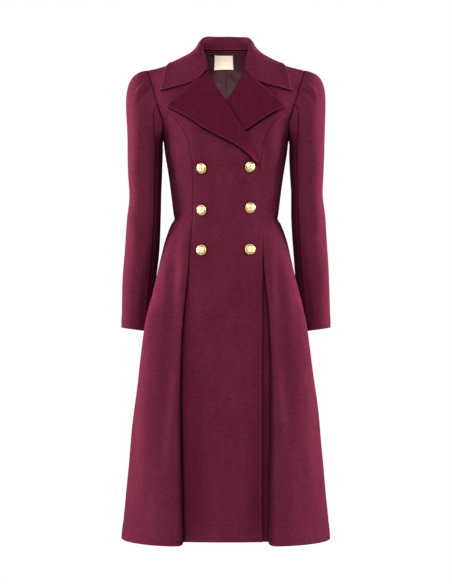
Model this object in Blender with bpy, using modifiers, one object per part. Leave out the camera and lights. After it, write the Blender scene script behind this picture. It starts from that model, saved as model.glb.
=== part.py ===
"""Long flared double-breasted coat, in its worn shape and hollow.

The frame is in metres with +Z up.  The origin is at the base of the neck, where the coat is held.
The front faces -Y and the wearer's left is at +X.  The tables are in millimetres.  "Drop" is the
distance below the origin, and "x" is measured from the centre line towards the piece's own side.
"""
import math

import bmesh
import bpy
import numpy as np

MM = 0.001

# Driving sizes in millimetres
WALL = 2.0
LINING_WALL = 1.0
SEAM_GAP = 0.4
HEM_DROP = 1150.0
UNDER_HEM_SHORTER = 6.0
LEVEL_DROP = 290.0
NECK_X = 64.0
NECK_DROP = -16.9
BACK_NECK_RISE = 5.0
SHOULDER_X = 188.0
SHOULDER_DROP = 33.0
SHOULDER_SLOPE = 0.1926
SHOULDER_CURVE = 0.001692
SHOULDER_ROUND = 75.0
ARMHOLE_NOTCH_DROP = 120.0
ARMPIT_DROP = 198.0
SIDE_SEAM_ANGLE = 90.0

# Rings of the body: half width, depth to the front and back, and how square the ring is
SECTIONS = dict(
    columns=("drop", "half_width", "front", "back", "squareness"),
    rows=(
        (-60, 232.0, 46.0, 60.0, 2.50),
        (-13, 228.0, 62.0, 76.0, 2.50),
        (31, 215.0, 77.0, 88.0, 2.50),
        (79, 200.0, 93.0, 97.0, 2.50),
        (125, 185.0, 107.0, 103.0, 2.50),
        (165, 160.0, 116.0, 103.0, 2.45),
        (198, 150.0, 122.0, 101.0, 2.40),
        (228, 146.5, 124.0, 98.0, 2.35),
        (286, 137.0, 114.0, 90.0, 2.30),
        (343, 129.5, 105.0, 86.0, 2.25),
        (380, 125.0, 102.0, 85.0, 2.20),
        (389, 123.5, 102.0, 85.5, 2.20),
        (401, 131.0, 102.5, 87.0, 2.20),
        (439, 147.0, 104.5, 93.0, 2.20),
        (478, 161.0, 107.0, 98.0, 2.20),
        (554, 184.0, 111.0, 106.0, 2.20),
        (655, 211.0, 116.0, 115.0, 2.20),
        (823, 227.5, 124.0, 128.0, 2.15),
        (977, 239.0, 131.0, 140.0, 2.10),
        (1150, 255.5, 140.0, 152.0, 2.10),
    ),
)

# Depth of the folds at each level: the front flare, the back flares and the hollow beside the arm
FOLDS = dict(
    columns=("drop", "front_flare", "side_back_flare", "back_flare", "side_hollow"),
    rows=(
        (389, 0.0, 0.0, 0.0, 0.0),
        (439, 5.0, 2.0, 1.0, 3.0),
        (478, 9.0, 4.0, 2.0, 10.0),
        (554, 18.0, 8.0, 4.0, 22.0),
        (655, 32.0, 15.0, 8.0, 36.0),
        (740, 44.0, 24.0, 12.0, 27.0),
        (823, 55.0, 33.0, 16.0, 16.0),
        (977, 76.0, 46.0, 22.0, 9.0),
        (1150, 98.0, 60.0, 30.0, 9.0),
    ),
)
FLARE_ONSET = 0.75
FLARE_FULLNESS = 0.6
FLARE_CROWDING = 2.2
FLARE_CROWDING_STARTS = 400.0
FLARE_CROWDING_FULL = 655.0
SIDE_HOLLOW_ANGLE = 103.0
SIDE_HOLLOW_REACH = 45.0

# Inner edge of a front: neckline, roll line of the lapel, then the straight front edge
FRONT_EDGE = dict(
    columns=("drop", "x"),
    rows=(
        (-16.9, 64.0),
        (2, 57.0),
        (18, 50.0),
        (42, 41.0),
        (85, 19.0),
        (114, 0.0),
        (158, -27.0),
        (191, -48.0),
        (223, -62.0),
        (245, -71.5),
        (265, -78.0),
        (288, -82.5),
        (328, -85.0),
        (389, -86.0),
        (1150, -86.0),
    ),
)
GORGE_DROP = 42.0
BREAK_DROP = 259.0

# Seams from the armhole to the hem
ARMHOLE = dict(
    columns=("drop", "x"),
    rows=((33, 188.0), (55, 181.0), (79, 174.0), (103, 167.5), (120, 161.5)),
)
FRONT_PRINCESS = dict(
    columns=("drop", "x"),
    rows=(
        (120, 161.5),
        (132, 146.0),
        (157, 118.0),
        (185, 98.0),
        (205, 90.5),
        (242, 83.0),
        (287, 78.0),
        (362, 78.0),
        (442, 84.0),
        (533, 91.0),
        (607, 98.0),
        (727, 104.0),
        (823, 105.0),
        (977, 103.0),
        (1150, 100.0),
    ),
)
BACK_PRINCESS = dict(
    columns=("drop", "x"),
    rows=((120, 161.5), (135, 140.0), (165, 112.0), (205, 92.0), (262, 78.0), (389, 66.0), (500, 76.0),
          (700, 95.0), (1150, 120.0)),
)

# How far the under layer lies inside the top layer, and where across the front it does
UNDER_LAYER = dict(
    columns=("drop", "sink"),
    rows=((55, 0.0), (100, 8.0), (290, 8.0), (340, 5.0), (1150, 5.0)),
)
UNDER_FULL_X = 88.0
UNDER_END_X = 118.0

# Lapel: a row for each line from the roll line to the lower edge
LAPEL = dict(
    columns=("share", "roll_drop", "edge_x", "edge_drop"),
    rows=(
        (0.00, 42, 134.5, 125.0),
        (0.15, 81, 105.0, 141.5),
        (0.30, 114, 79.5, 158.5),
        (0.45, 148, 55.0, 177.5),
        (0.60, 180, 21.5, 197.0),
        (0.75, 211, -16.0, 216.0),
        (0.90, 241, -51.0, 240.5),
        (1.00, 259, -65.0, 256.0),
    ),
)
ROLL_SETBACK = 3.3
LAPEL_GAP = 2.0
LAPEL_PUFF = 2.0
LAPEL_EDGE_LIFT = 1.0
LAPEL_PUFF_FROM_X = 5.0
LAPEL_PUFF_FULL_X = 60.0

# Collar: a row for each section from the centre back to the front end
COLLAR = dict(
    columns=(
        "share",
        "fold_x", "fold_y", "fold_drop",
        "mid_x", "mid_y", "mid_drop",
        "edge_x", "edge_y", "edge_drop",
    ),
    rows=(
        (0.00, 0, 77, -57, 0, 92, -26, 0, 95, 16),
        (0.18, 30, 70, -56, 37, 84, -26, 50, 88, 16),
        (0.36, 51, 41, -52, 72, 55, -26, 98, 57, 13),
        (0.50, 58, 2, -36, 77, 3, -12, 135, 8, 15),
        (0.64, 55, -43.5, -11.5, 83, -53, 1, 147, -43, 25),
        (0.80, 47.5, -66, 12.0, 76, -79, 31, 152, -65, 60),
        (1.00, 43, -82, 34.5, 75, -95, 65, 155.5, -77, 88),
    ),
)
COLLAR_FOLD_BACK = 9.0
COLLAR_FOLD_FRONT = 6.0
COLLAR_NECK_INSET = 3.5
COLLAR_NECK_LIFT = 0.8
NECK_CENTRE_Y = 5.0
COLLAR_FALL_BEND = 0.5

# Sleeve tube below the armhole: centre, half width and half depth
SLEEVE = dict(
    columns=("drop", "centre_x", "centre_y", "half_width", "half_depth", "outer_rise"),
    rows=(
        (230, 194.0, 8.0, 42.5, 63.0, 0.0),
        (286, 194.5, 9.0, 40.5, 60.0, 0.0),
        (329, 194.5, 12.0, 38.5, 56.0, 0.0),
        (389, 198.0, 18.0, 41.0, 54.0, 0.0),
        (478, 203.5, 28.0, 41.5, 51.0, 1.0),
        (554, 210.0, 36.0, 40.0, 48.0, 3.0),
        (655, 216.0, 45.0, 37.0, 44.0, 5.0),
    ),
)
SLEEVE_SEAM_ANGLE = 130.0
HEAD_OUTWARD = 212.0
HEAD_DOWNWARD = 15.0
HEAD_SIDE_DOWNWARD = 35.0
HEAD_FORWARD = 15.0
HEAD_HANG = 295.0
HEAD_HANG_LEAST = 35.0
HEAD_PIT_OUTWARD = 8.0
HEAD_FADE = 0.8
HEAD_SHARES = (0.0, 0.12, 0.28, 0.45, 0.62, 0.8, 1.0)
SLEEVE_ROW_DROPS = (286, 329, 370, 420, 478, 530, 590, 655)

# Tuck in the sleeve head, front and back: a ridge above a trough, running out from the armhole
TUCK_RIDGE_TURN = 62.0
TUCK_TROUGH_TURN = 80.0
TUCK_SPREAD = 10.0
TUCK_DEPTH = 3.0
TUCK_REACH = 0.45

# Lining, label and hanger loop inside the back neck
LINING_GAP = 0.6
LINING_ROWS = 15
LINING_COLUMNS = 9
PLEAT_DEPTH = 1.2
LABEL_X = (-29.5, 18.5)
LABEL_DROP = (-12.5, 21.5)
LABEL_WALL = 1.0
LABEL_GRID = (5, 4)
LABEL_GAP = 0.7
LOOP_X = (-43.0, 31.0)
LOOP_DROP = (-16.8, -13.2)
LOOP_GRID = (7, 2)

# Buttons on the top front: place, level, turn of the face to its own side, and lift of the seat
BUTTON_RADIUS = 12.4
BUTTON_RIM = 1.6
BUTTON_DOME = 5.0
BUTTON_SHANK_RADIUS = 4.0
BUTTON_SHANK_LENGTH = 3.0
BUTTON_STEPS = 18
BUTTON_FACE = ((0.0, 1.0), (0.55, 0.78), (0.88, 0.25), (1.0, 0.0))
BUTTONS = dict(
    columns=("name", "x", "drop", "turn", "lift"),
    rows=(
        ("button_right_1", 55.5, 272.5, 12.0, 0.05),
        ("button_right_2", 55.5, 370.5, 10.0, -0.18),
        ("button_right_3", 56.5, 465.5, 8.0, -0.02),
        ("button_left_1", -55.0, 269.0, 6.0, 0.0),
        ("button_left_2", -55.5, 365.0, 0.0, 0.38),
        ("button_left_3", -55.5, 463.5, 0.0, 0.28),
    ),
)

# Rows and columns of the cloth, and the step and angles used in making it
ARMHOLE_DROPS = (33, 37, 47, 61.5, 81, 100, 120)
CHEST_DROPS = (133, 147, 166, 190, 220, 243, 263.8, 290)
LOWER_DROPS = (330, 362, 382, 391, 402, 424, 452, 485, 520, 560, 615, 690, 785, 895, 1015, HEM_DROP)
FRONT_COLUMNS = 7
SIDE_FRONT_COLUMNS = 9
SIDE_BACK_COLUMNS = 7
NECK_COLUMNS = 5
GORGE_ROW = 4
BREAK_ROW = 13
LAPEL_ROLL_ANGLES = (-90.0, -55.0, -20.0, 20.0, 55.0)
LAPEL_FLAT_SHARES = (0.0, 0.2, 0.45, 0.72, 1.0)
COLLAR_HALF_COLUMNS = 12
SLOPE_STEP = 0.5
SHARP_ANGLE = 60.0
MERGE_DISTANCE = 0.01
COLLAR_SHARES = (0.0, 0.17, 0.27, 0.333, 0.4, 0.5, 0.62, 0.75, 0.88, 1.0)

# Colours, and how rough the faces are
WOOL = (102, 33, 54)
SATIN = (82, 46, 54)
WOVEN_LABEL = (240, 224, 208)
GOLD = (212, 180, 120)
WOOL_ROUGHNESS = 0.85
SATIN_ROUGHNESS = 0.35
LABEL_ROUGHNESS = 0.6
GOLD_ROUGHNESS = 0.35


def values(table, name):
    """All values of one named column."""
    place = table["columns"].index(name)
    return np.array([row[place] for row in table["rows"]], dtype=float)


def smooth(table, name, at):
    """A named column read at places along the table's first column, with no overshoot."""
    key = values(table, table["columns"][0])
    known = values(table, name)
    step = np.diff(key)
    rise = np.diff(known) / step
    slope = np.zeros_like(known)
    slope[0], slope[-1] = rise[0], rise[-1]
    before, after = rise[:-1], rise[1:]
    same_way = before * after > 0
    weight_before = 2 * step[1:] + step[:-1]
    weight_after = step[1:] + 2 * step[:-1]
    safe_before = np.where(same_way, before, 1.0)
    safe_after = np.where(same_way, after, 1.0)
    mean = (weight_before + weight_after) / (weight_before / safe_before + weight_after / safe_after)
    slope[1:-1] = np.where(same_way, mean, 0.0)
    at = np.clip(np.asarray(at, dtype=float), key[0], key[-1])
    place = np.clip(np.searchsorted(key, at) - 1, 0, len(step) - 1)
    width = step[place]
    t = (at - key[place]) / width
    return (
        (2 * t**3 - 3 * t**2 + 1) * known[place]
        + (t**3 - 2 * t**2 + t) * width * slope[place]
        + (3 * t**2 - 2 * t**3) * known[place + 1]
        + (t**3 - t**2) * width * slope[place + 1]
    )


def ease(start, end, at):
    """0 before start, 1 after end, with a soft change between."""
    t = np.clip((np.asarray(at, dtype=float) - start) / (end - start), 0.0, 1.0)
    return t * t * (3 - 2 * t)


def blend(first, second, share):
    return first + (second - first) * share


def point(x, y, drop):
    x, y, drop = np.broadcast_arrays(x, y, drop)
    return np.stack((x, y, -drop), axis=-1).astype(float)


def ring(drop):
    """Half width, front depth, back depth and squareness of the body at a level."""
    return [smooth(SECTIONS, name, drop) for name in SECTIONS["columns"][1:]]


def shoulder_drop(x):
    """Level of the shoulder seam."""
    inward = SHOULDER_X - np.abs(x)
    return SHOULDER_DROP - SHOULDER_SLOPE * inward - SHOULDER_CURVE * inward**2


def shoulder_share(x, drop):
    """0 on the shoulder seam, rounding out to 1 below it."""
    t = np.clip((np.asarray(drop) - shoulder_drop(x)) / SHOULDER_ROUND, 0.0, 1.0)
    return np.sqrt(1 - (1 - t) ** 2)


def front_surface(x, drop):
    half_width, front, _, squareness = ring(drop)
    across = np.clip(1 - np.abs(x / half_width) ** squareness, 0.0, 1.0) ** (1 / squareness)
    return point(x, -front * across * shoulder_share(x, drop), drop)


def back_surface(x, drop):
    half_width, _, back, squareness = ring(drop)
    across = np.clip(1 - np.abs(x / half_width) ** squareness, 0.0, 1.0) ** (1 / squareness)
    return point(x, back * across * shoulder_share(x, drop), drop)


def ring_surface(angle, drop):
    """Point of a ring at an angle from the centre front, 90 degrees at the side."""
    half_width, front, back, squareness = ring(drop)
    angle = np.radians(angle)
    x = half_width * np.abs(np.sin(angle)) ** (2 / squareness)
    cosine = np.cos(angle)
    depth = np.where(cosine > 0, -front, back) * np.abs(cosine) ** (2 / squareness)
    return point(x, depth * shoulder_share(x, drop), drop)


def angle_at_x(x, drop):
    half_width, _, _, squareness = ring(drop)
    return np.degrees(np.arcsin(np.clip(np.abs(x / half_width), 0, 1) ** (squareness / 2)))


def angle_at_depth(depth, drop, largest):
    """Angle from the centre line of a point whose depth is a share of the ring's largest."""
    squareness = ring(drop)[3]
    return np.degrees(np.arccos(np.clip(np.abs(depth) / largest, 0, 1) ** (squareness / 2)))


def normals(surface, x, drop):
    """Outward normals of the front or back surface."""
    across = surface(x + SLOPE_STEP, drop) - surface(x - SLOPE_STEP, drop)
    down = surface(x, drop + SLOPE_STEP) - surface(x, drop - SLOPE_STEP)
    normal = np.cross(down, across)
    if surface is back_surface:
        normal = -normal
    return normal / np.linalg.norm(normal, axis=-1, keepdims=True)


def unit(vectors):
    return vectors / np.linalg.norm(vectors, axis=-1, keepdims=True)


def facing(points, centre):
    """Unit normals of a grid of points, facing away from a centre line."""
    normal = unit(np.cross(np.gradient(points, axis=1), np.gradient(points, axis=0)))
    away = np.sum(normal * (points - centre))
    return normal if away > 0 else -normal


def share_seam(first, second):
    """Give the points along a seam the same normal on both of its pieces."""
    mean = unit(first + second)
    first[...] = mean
    second[...] = mean


def patch(top, bottom, left, right, down, across):
    """Coons patch: boundary arrays joined into a grid, with row and column shares."""
    v = down[:, None, None]
    u = across[None, :, None]
    ruled = blend(top[None], bottom[None], v) + blend(left[:, None], right[:, None], u)
    corners = blend(blend(top[0], top[-1], u), blend(bottom[0], bottom[-1], u), v)
    return ruled - corners


def pulled_in(points, top=0.0, bottom=0.0, left=0.0, right=0.0):
    """The grid with its border points moved towards their inner neighbours."""
    points = points.copy()
    for edge, inner, distance in (
        (np.s_[0, :], np.s_[1, :], top),
        (np.s_[-1, :], np.s_[-2, :], bottom),
        (np.s_[:, 0], np.s_[:, 1], left),
        (np.s_[:, -1], np.s_[:, -2], right),
    ):
        inward = points[inner] - points[edge]
        points[edge] += distance * inward / np.linalg.norm(inward, axis=-1, keepdims=True)
    return points


def sink(x, drop):
    """Depth of the under layer inside the top layer."""
    return smooth(UNDER_LAYER, "sink", drop) * (1 - ease(UNDER_FULL_X, UNDER_END_X, x))


def under(points):
    points = points.copy()
    points[..., 1] += sink(points[..., 0], -points[..., 2])
    return points


def upper_shares():
    """Row shares of the panels that reach the shoulder."""
    drops = np.array(ARMHOLE_DROPS + CHEST_DROPS, dtype=float)
    return drops, (drops - drops[0]) / (drops[-1] - drops[0])


def seam_x(princess, drops):
    return np.where(
        drops < ARMHOLE_NOTCH_DROP, smooth(ARMHOLE, "x", drops), smooth(princess, "x", drops)
    )


def flat_pair(x, drop):
    x, drop = np.broadcast_arrays(x, drop)
    return np.stack((x, drop), axis=-1).astype(float)


def front_edge_x(drop):
    """Edge of the front panel, kept clear of the rolled edge of its lapel."""
    rolled = ease(NECK_DROP, GORGE_DROP, drop) * (1 - ease(BREAK_DROP, LEVEL_DROP, drop))
    return smooth(FRONT_EDGE, "x", drop) + ROLL_SETBACK * rolled


def front_panel(edge_hem):
    """Centre front panel: shoulder seam, roll line and front edge, armhole and princess seam."""
    across = np.linspace(0, 1, FRONT_COLUMNS)
    drops, down = upper_shares()
    inner_drops = blend(NECK_DROP, LEVEL_DROP, down)
    shoulder = blend(NECK_X, SHOULDER_X, across)
    level = np.array(LEVEL_DROP)
    upper = patch(
        flat_pair(shoulder, shoulder_drop(shoulder)),
        flat_pair(blend(front_edge_x(level), smooth(FRONT_PRINCESS, "x", level), across), level),
        flat_pair(front_edge_x(inner_drops), inner_drops),
        flat_pair(seam_x(FRONT_PRINCESS, drops), drops),
        down,
        across,
    )
    low = np.array(LOWER_DROPS, dtype=float)[:, None] + 0 * across
    low[-1] = blend(edge_hem, HEM_DROP, across)
    lower = flat_pair(blend(front_edge_x(low), smooth(FRONT_PRINCESS, "x", low), across), low)
    whole = np.concatenate((upper, lower))
    return front_surface(whole[..., 0], whole[..., 1])


def back_panel():
    """Half of the back: neckline and shoulder seam, centre seam, armhole and princess seam."""
    neck = np.linspace(0, NECK_X, NECK_COLUMNS)
    shoulder = np.linspace(NECK_X, SHOULDER_X, FRONT_COLUMNS)[1:]
    top = np.concatenate(
        (flat_pair(neck, neckline_drop(neck)), flat_pair(shoulder, shoulder_drop(shoulder)))
    )
    across = top[:, 0] / SHOULDER_X
    drops, down = upper_shares()
    centre_drops = blend(top[0, 1], LEVEL_DROP, down)
    bottom_x = smooth(BACK_PRINCESS, "x", LEVEL_DROP) * across
    upper = patch(
        top,
        flat_pair(bottom_x, np.array(LEVEL_DROP)),
        flat_pair(0.0 * centre_drops, centre_drops),
        flat_pair(seam_x(BACK_PRINCESS, drops), drops),
        down,
        across,
    )
    low = np.array(LOWER_DROPS, dtype=float)[:, None]
    lower = flat_pair(smooth(BACK_PRINCESS, "x", low) * across[None], low)
    whole = np.concatenate((upper, lower))
    points = back_surface(whole[..., 0], whole[..., 1])
    points[..., 1] += smooth(FOLDS, "back_flare", whole[..., 1]) * np.sin(np.pi * across) ** 2
    return points


def neckline_drop(x):
    """Back neckline, a little higher at the centre than at the shoulder seam."""
    return NECK_DROP - BACK_NECK_RISE * (1 - (x / NECK_X) ** 2)


def armhole_quarter(surface, share):
    """Lower quarter of the armhole from the princess notch round to the side seam."""
    notch = surface(np.array(smooth(ARMHOLE, "x", ARMHOLE_NOTCH_DROP)), np.array(ARMHOLE_NOTCH_DROP))
    turn = share * np.pi / 2
    drop = ARMHOLE_NOTCH_DROP + (ARMPIT_DROP - ARMHOLE_NOTCH_DROP) * np.sin(turn)
    depth = notch[1] * np.cos(turn)
    largest = ring(drop)[1 if surface is front_surface else 2]
    return angle_at_depth(depth, drop, largest), drop


def side_panel(surface, princess, columns):
    """Angles and levels of a side panel, from its princess seam to the side seam."""
    across = np.linspace(0, 1, columns)
    drops = np.array((ARMHOLE_NOTCH_DROP,) + CHEST_DROPS)
    down = (drops - drops[0]) / (drops[-1] - drops[0])
    side_drops = blend(ARMPIT_DROP, LEVEL_DROP, down)
    level = np.array(LEVEL_DROP)
    seam_angle = angle_at_x(smooth(princess, "x", drops), drops)
    upper = patch(
        flat_pair(*armhole_quarter(surface, across)),
        flat_pair(blend(seam_angle[-1], SIDE_SEAM_ANGLE, across), level),
        flat_pair(seam_angle, drops),
        flat_pair(SIDE_SEAM_ANGLE + 0 * side_drops, side_drops),
        down,
        across,
    )
    low = np.array(LOWER_DROPS, dtype=float)[:, None]
    crowding = 1 + (FLARE_CROWDING - 1) * ease(FLARE_CROWDING_STARTS, FLARE_CROWDING_FULL, low)
    if surface is back_surface:
        crowding = 1.0
    seam_angle = angle_at_x(smooth(princess, "x", low), low)
    lower = flat_pair(blend(seam_angle, SIDE_SEAM_ANGLE, across[None] ** crowding), low)
    whole = np.concatenate((upper, lower))
    angle = whole[..., 0] if surface is front_surface else 180.0 - whole[..., 0]
    return across, angle, whole[..., 1]


def hollowed(points, angle, drop):
    """The side drawn in where the arm hangs."""
    away = np.clip((angle - SIDE_HOLLOW_ANGLE) / SIDE_HOLLOW_REACH, -1.0, 1.0)
    bell = np.cos(np.pi / 2 * away) ** 2
    points[..., 0] -= smooth(FOLDS, "side_hollow", drop) * bell
    return points


def side_front_panel():
    """Side front panel: its flare steps forward at the princess seam and rolls round to the side."""
    across, angle, drop = side_panel(front_surface, FRONT_PRINCESS, SIDE_FRONT_COLUMNS)
    points = hollowed(ring_surface(angle, drop), angle, drop)
    wave = np.sin(np.pi * across**FLARE_ONSET)
    wave *= 1 + FLARE_FULLNESS * (1 - wave)
    points[..., 1] -= smooth(FOLDS, "front_flare", drop) * wave
    return points


def side_back_panel():
    """Side back panel with one soft flare."""
    across, angle, drop = side_panel(back_surface, BACK_PRINCESS, SIDE_BACK_COLUMNS)
    points = hollowed(ring_surface(angle, drop), angle, drop)
    points[..., 1] += smooth(FOLDS, "side_back_flare", drop) * np.sin(np.pi * across) ** 2
    return points


def sleeve_ring(turn, drop):
    """Points round the sleeve tube: turn 0 faces out, 90 faces the front."""
    turn = np.radians(turn)
    centre_x, centre_y, half_width, half_depth, rise = (
        smooth(SLEEVE, name, drop) for name in SLEEVE["columns"][1:]
    )
    return point(
        centre_x + half_width * np.cos(turn),
        centre_y - half_depth * np.sin(turn),
        drop - rise * np.cos(turn),
    )


def sleeve_piece(armhole, turn):
    """Sleeve cloth from armhole points, over the head and down the tube to the cuff."""
    share = ((1 + np.cos(np.radians(turn))) / 2)[:, None]
    fade = share**HEAD_FADE
    sine = np.sin(np.radians(turn))[:, None]
    leave = np.concatenate(
        (
            HEAD_OUTWARD * fade + HEAD_PIT_OUTWARD * (1 - share),
            -HEAD_FORWARD * sine,
            -(HEAD_DOWNWARD + HEAD_SIDE_DOWNWARD * sine**2),
        ),
        axis=1,
    )
    hang = np.zeros_like(leave)
    hang[:, 2] = -(HEAD_HANG_LEAST + HEAD_HANG * fade[:, 0])
    first_drop = SLEEVE["rows"][0][0]
    biceps = sleeve_ring(turn, np.array(first_drop))
    t = np.array(HEAD_SHARES)[:, None, None]
    head = (
        (2 * t**3 - 3 * t**2 + 1) * armhole
        + (t**3 - 2 * t**2 + t) * leave
        + (3 * t**2 - 2 * t**3) * biceps
        + (t**3 - t**2) * hang
    )
    drops = np.array(SLEEVE_ROW_DROPS, dtype=float)
    tube = sleeve_ring(turn[None], drops[:, None])
    points = np.concatenate((head, tube))
    axis_drops = np.concatenate((np.full(len(HEAD_SHARES), first_drop), drops))
    axis = point(smooth(SLEEVE, "centre_x", axis_drops), smooth(SLEEVE, "centre_y", axis_drops), axis_drops)
    return points, axis[:, None]


def tucked(points, normal, turn):
    """The sleeve head with its tucks raised and sunk along its normals."""
    reach = np.concatenate((np.array(HEAD_SHARES), np.ones(len(SLEEVE_ROW_DROPS))))[:, None]
    ridge = np.exp(-(((np.abs(turn) - TUCK_RIDGE_TURN) / TUCK_SPREAD) ** 2))
    trough = np.exp(-(((np.abs(turn) - TUCK_TROUGH_TURN) / TUCK_SPREAD) ** 2))
    fade = ease(0.0, HEAD_SHARES[1], reach) * (1 - ease(HEAD_SHARES[1], TUCK_REACH, reach))
    return points + (TUCK_DEPTH * fade * (ridge - trough))[..., None] * normal


def seam_turns(points, end_turn):
    """Turns shared along a run of armhole points by their distance along it."""
    steps = np.linalg.norm(np.diff(points, axis=0), axis=1)
    along = np.concatenate(((0.0,), np.cumsum(steps)))
    return end_turn * along / along[-1]


def sleeve_pieces(front, side_front, side_back, back):
    """Upper and under sleeve with their normals, started from the armhole points of the panels."""
    notch = len(ARMHOLE_DROPS)
    over_front = front[:notch, -1]
    over_back = back[:notch, -1]
    upper_turn = np.concatenate(
        (
            seam_turns(over_front, SLEEVE_SEAM_ANGLE)[::-1],
            -seam_turns(over_back, SLEEVE_SEAM_ANGLE)[1:],
        )
    )
    upper, axis = sleeve_piece(np.concatenate((over_front[::-1], over_back[1:])), upper_turn)
    under_front = side_front[0]
    under_back = side_back[0][::-1]
    half = 180.0 - SLEEVE_SEAM_ANGLE
    lower_turn = np.concatenate(
        (
            SLEEVE_SEAM_ANGLE + seam_turns(under_front, half),
            180.0 + seam_turns(under_back, half)[1:],
        )
    )
    lower, axis = sleeve_piece(np.concatenate((under_front, under_back[1:])), lower_turn)
    upper_normal = facing(upper, axis)
    lower_normal = facing(lower, axis)
    share_seam(upper_normal[:, 0], lower_normal[:, 0])
    share_seam(upper_normal[:, -1], lower_normal[:, -1])
    upper = tucked(upper, upper_normal, upper_turn)
    edges = dict(top=2 * SEAM_GAP, left=SEAM_GAP / 2, right=SEAM_GAP / 2)
    return (pulled_in(upper, **edges), upper_normal), (pulled_in(lower, **edges), lower_normal)


def lapel_piece(is_under):
    """Lapel: rolls out of the front panel's edge and lies back on the panel."""
    down = upper_shares()[1][GORGE_ROW:BREAK_ROW + 1]
    roll_drop = blend(NECK_DROP, LEVEL_DROP, down)
    share = np.interp(roll_drop, values(LAPEL, "roll_drop"), values(LAPEL, "share"))
    above, below = (smooth(FRONT_EDGE, "x", roll_drop + step) for step in (-SLOPE_STEP, SLOPE_STEP))
    slope = (below - above) / (2 * SLOPE_STEP)
    inward = unit(flat_pair(np.ones_like(slope), -slope))
    start = flat_pair(smooth(FRONT_EDGE, "x", roll_drop) + ROLL_SETBACK, roll_drop) - SEAM_GAP * inward
    edge = flat_pair(smooth(LAPEL, "edge_x", share), smooth(LAPEL, "edge_drop", share))
    roll = np.radians(np.array(LAPEL_ROLL_ANGLES))
    flat = np.array(LAPEL_FLAT_SHARES)
    rows, turns = len(share), len(roll)
    lift = LAPEL_GAP + WALL
    radius = (lift + WALL) / 2
    rolled = start[:, None] - radius * np.cos(roll)[:, None] * inward[:, None]
    place = np.concatenate((rolled, blend(start[:, None], edge[:, None], flat[:, None])), axis=1)
    x, drop = place[..., 0], place[..., 1]
    puff = ease(LAPEL_PUFF_FROM_X, LAPEL_PUFF_FULL_X, x[:, turns:]) if is_under else 1.0
    raised = lift + puff * (LAPEL_PUFF * np.sin(np.pi * flat) + LAPEL_EDGE_LIFT * flat**2)
    rolling = np.broadcast_to(lift - radius + radius * np.sin(roll), (rows, turns))
    height = np.concatenate((rolling, np.broadcast_to(raised, (rows, len(flat)))), axis=1)
    outward = normals(front_surface, x, drop)
    ahead = place + inward[:, None]
    forward = unit(front_surface(ahead[..., 0], ahead[..., 1]) - front_surface(x, drop))
    lean = np.concatenate((-np.cos(roll), 0 * flat))[:, None]
    rise = np.concatenate((np.sin(roll), 1 + 0 * flat))[:, None]
    normal = unit(lean * forward + rise * outward)
    points = front_surface(x, drop)
    if is_under:
        points = under(points)
    return points + height[..., None] * outward, normal


def collar_neck(share):
    """Neckline under the collar: along the back, over the shoulder seam and down to the gorge."""
    back_x = NECK_X * np.clip(2 * share, 0.0, 1.0)
    front_drop = blend(NECK_DROP, GORGE_DROP, np.clip(2 * share - 1, 0.0, 1.0))
    on_back = back_surface(back_x, neckline_drop(back_x))
    on_front = front_surface(smooth(FRONT_EDGE, "x", front_drop), front_drop)
    return np.where((share < 0.5)[:, None], on_back, on_front)


def collar_piece():
    """Collar: stand up from the neckline, soft fold, and fall over the shoulders to its points."""
    place = np.linspace(-1, 1, 2 * COLLAR_HALF_COLUMNS + 1)
    share = np.abs(place)
    own_side = np.stack((np.sign(place), np.ones_like(place), np.ones_like(place)), axis=-1)
    fold, mid, edge = (
        own_side * point(*(smooth(COLLAR, name + part, share) for part in ("_x", "_y", "_drop")))
        for name in ("fold", "mid", "edge")
    )
    neck = own_side * collar_neck(share)
    outward = unit(fold * np.array((1.0, 1.0, 0.0)) - np.array((0.0, NECK_CENTRE_Y, 0.0)))
    neck = neck - COLLAR_NECK_INSET * outward + np.array((0.0, 0.0, COLLAR_NECK_LIFT))
    radius = blend(COLLAR_FOLD_BACK, COLLAR_FOLD_FRONT, share)[:, None]
    stand_top = fold - radius * outward
    fall_top = fold + radius * outward
    under_fall = blend(fall_top, mid, COLLAR_FALL_BEND)
    arcs = ((neck, stand_top, fold), (fold, fall_top, under_fall), (under_fall, mid, edge))
    rows = []
    for v in COLLAR_SHARES:
        arc = min(int(v * len(arcs)), len(arcs) - 1)
        t = v * len(arcs) - arc
        first, middle, last = arcs[arc]
        rows.append((1 - t) ** 2 * first + 2 * t * (1 - t) * middle + t**2 * last)
    points = np.array(rows)
    normal = unit(np.cross(np.gradient(points, axis=1), np.gradient(points, axis=0)))
    return points, normal


def back_lining(back, back_normal):
    """Lining that shows in the neck: the back's own points moved in, with a centre pleat."""
    half = back[:LINING_ROWS, :LINING_COLUMNS]
    half_normal = back_normal[:LINING_ROWS, :LINING_COLUMNS]
    half = half - (WALL + LINING_GAP) * half_normal
    half[:, 0, 1] -= PLEAT_DEPTH
    across = np.array((-1.0, 1.0, 1.0))
    whole = np.concatenate((half[:, :0:-1] * across, half), axis=1)
    normal = np.concatenate((half_normal[:, :0:-1] * across, half_normal), axis=1)
    return whole, normal


def on_lining(x_range, drop_range, columns, rows):
    """Strip that lies inside the lining."""
    x = np.linspace(*x_range, columns)[None]
    drop = np.linspace(*drop_range, rows)[:, None]
    x, drop = np.broadcast_arrays(x, drop)
    normal = normals(back_surface, x, drop)
    inset = WALL + LINING_GAP + LINING_WALL + PLEAT_DEPTH + LABEL_GAP
    return back_surface(x, drop) - inset * normal, normal


def linear_colour(colour):
    shares = [part / 255 for part in colour]
    return [s / 12.92 if s <= 0.04045 else ((s + 0.055) / 1.055) ** 2.4 for s in shares] + [1.0]


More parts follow.
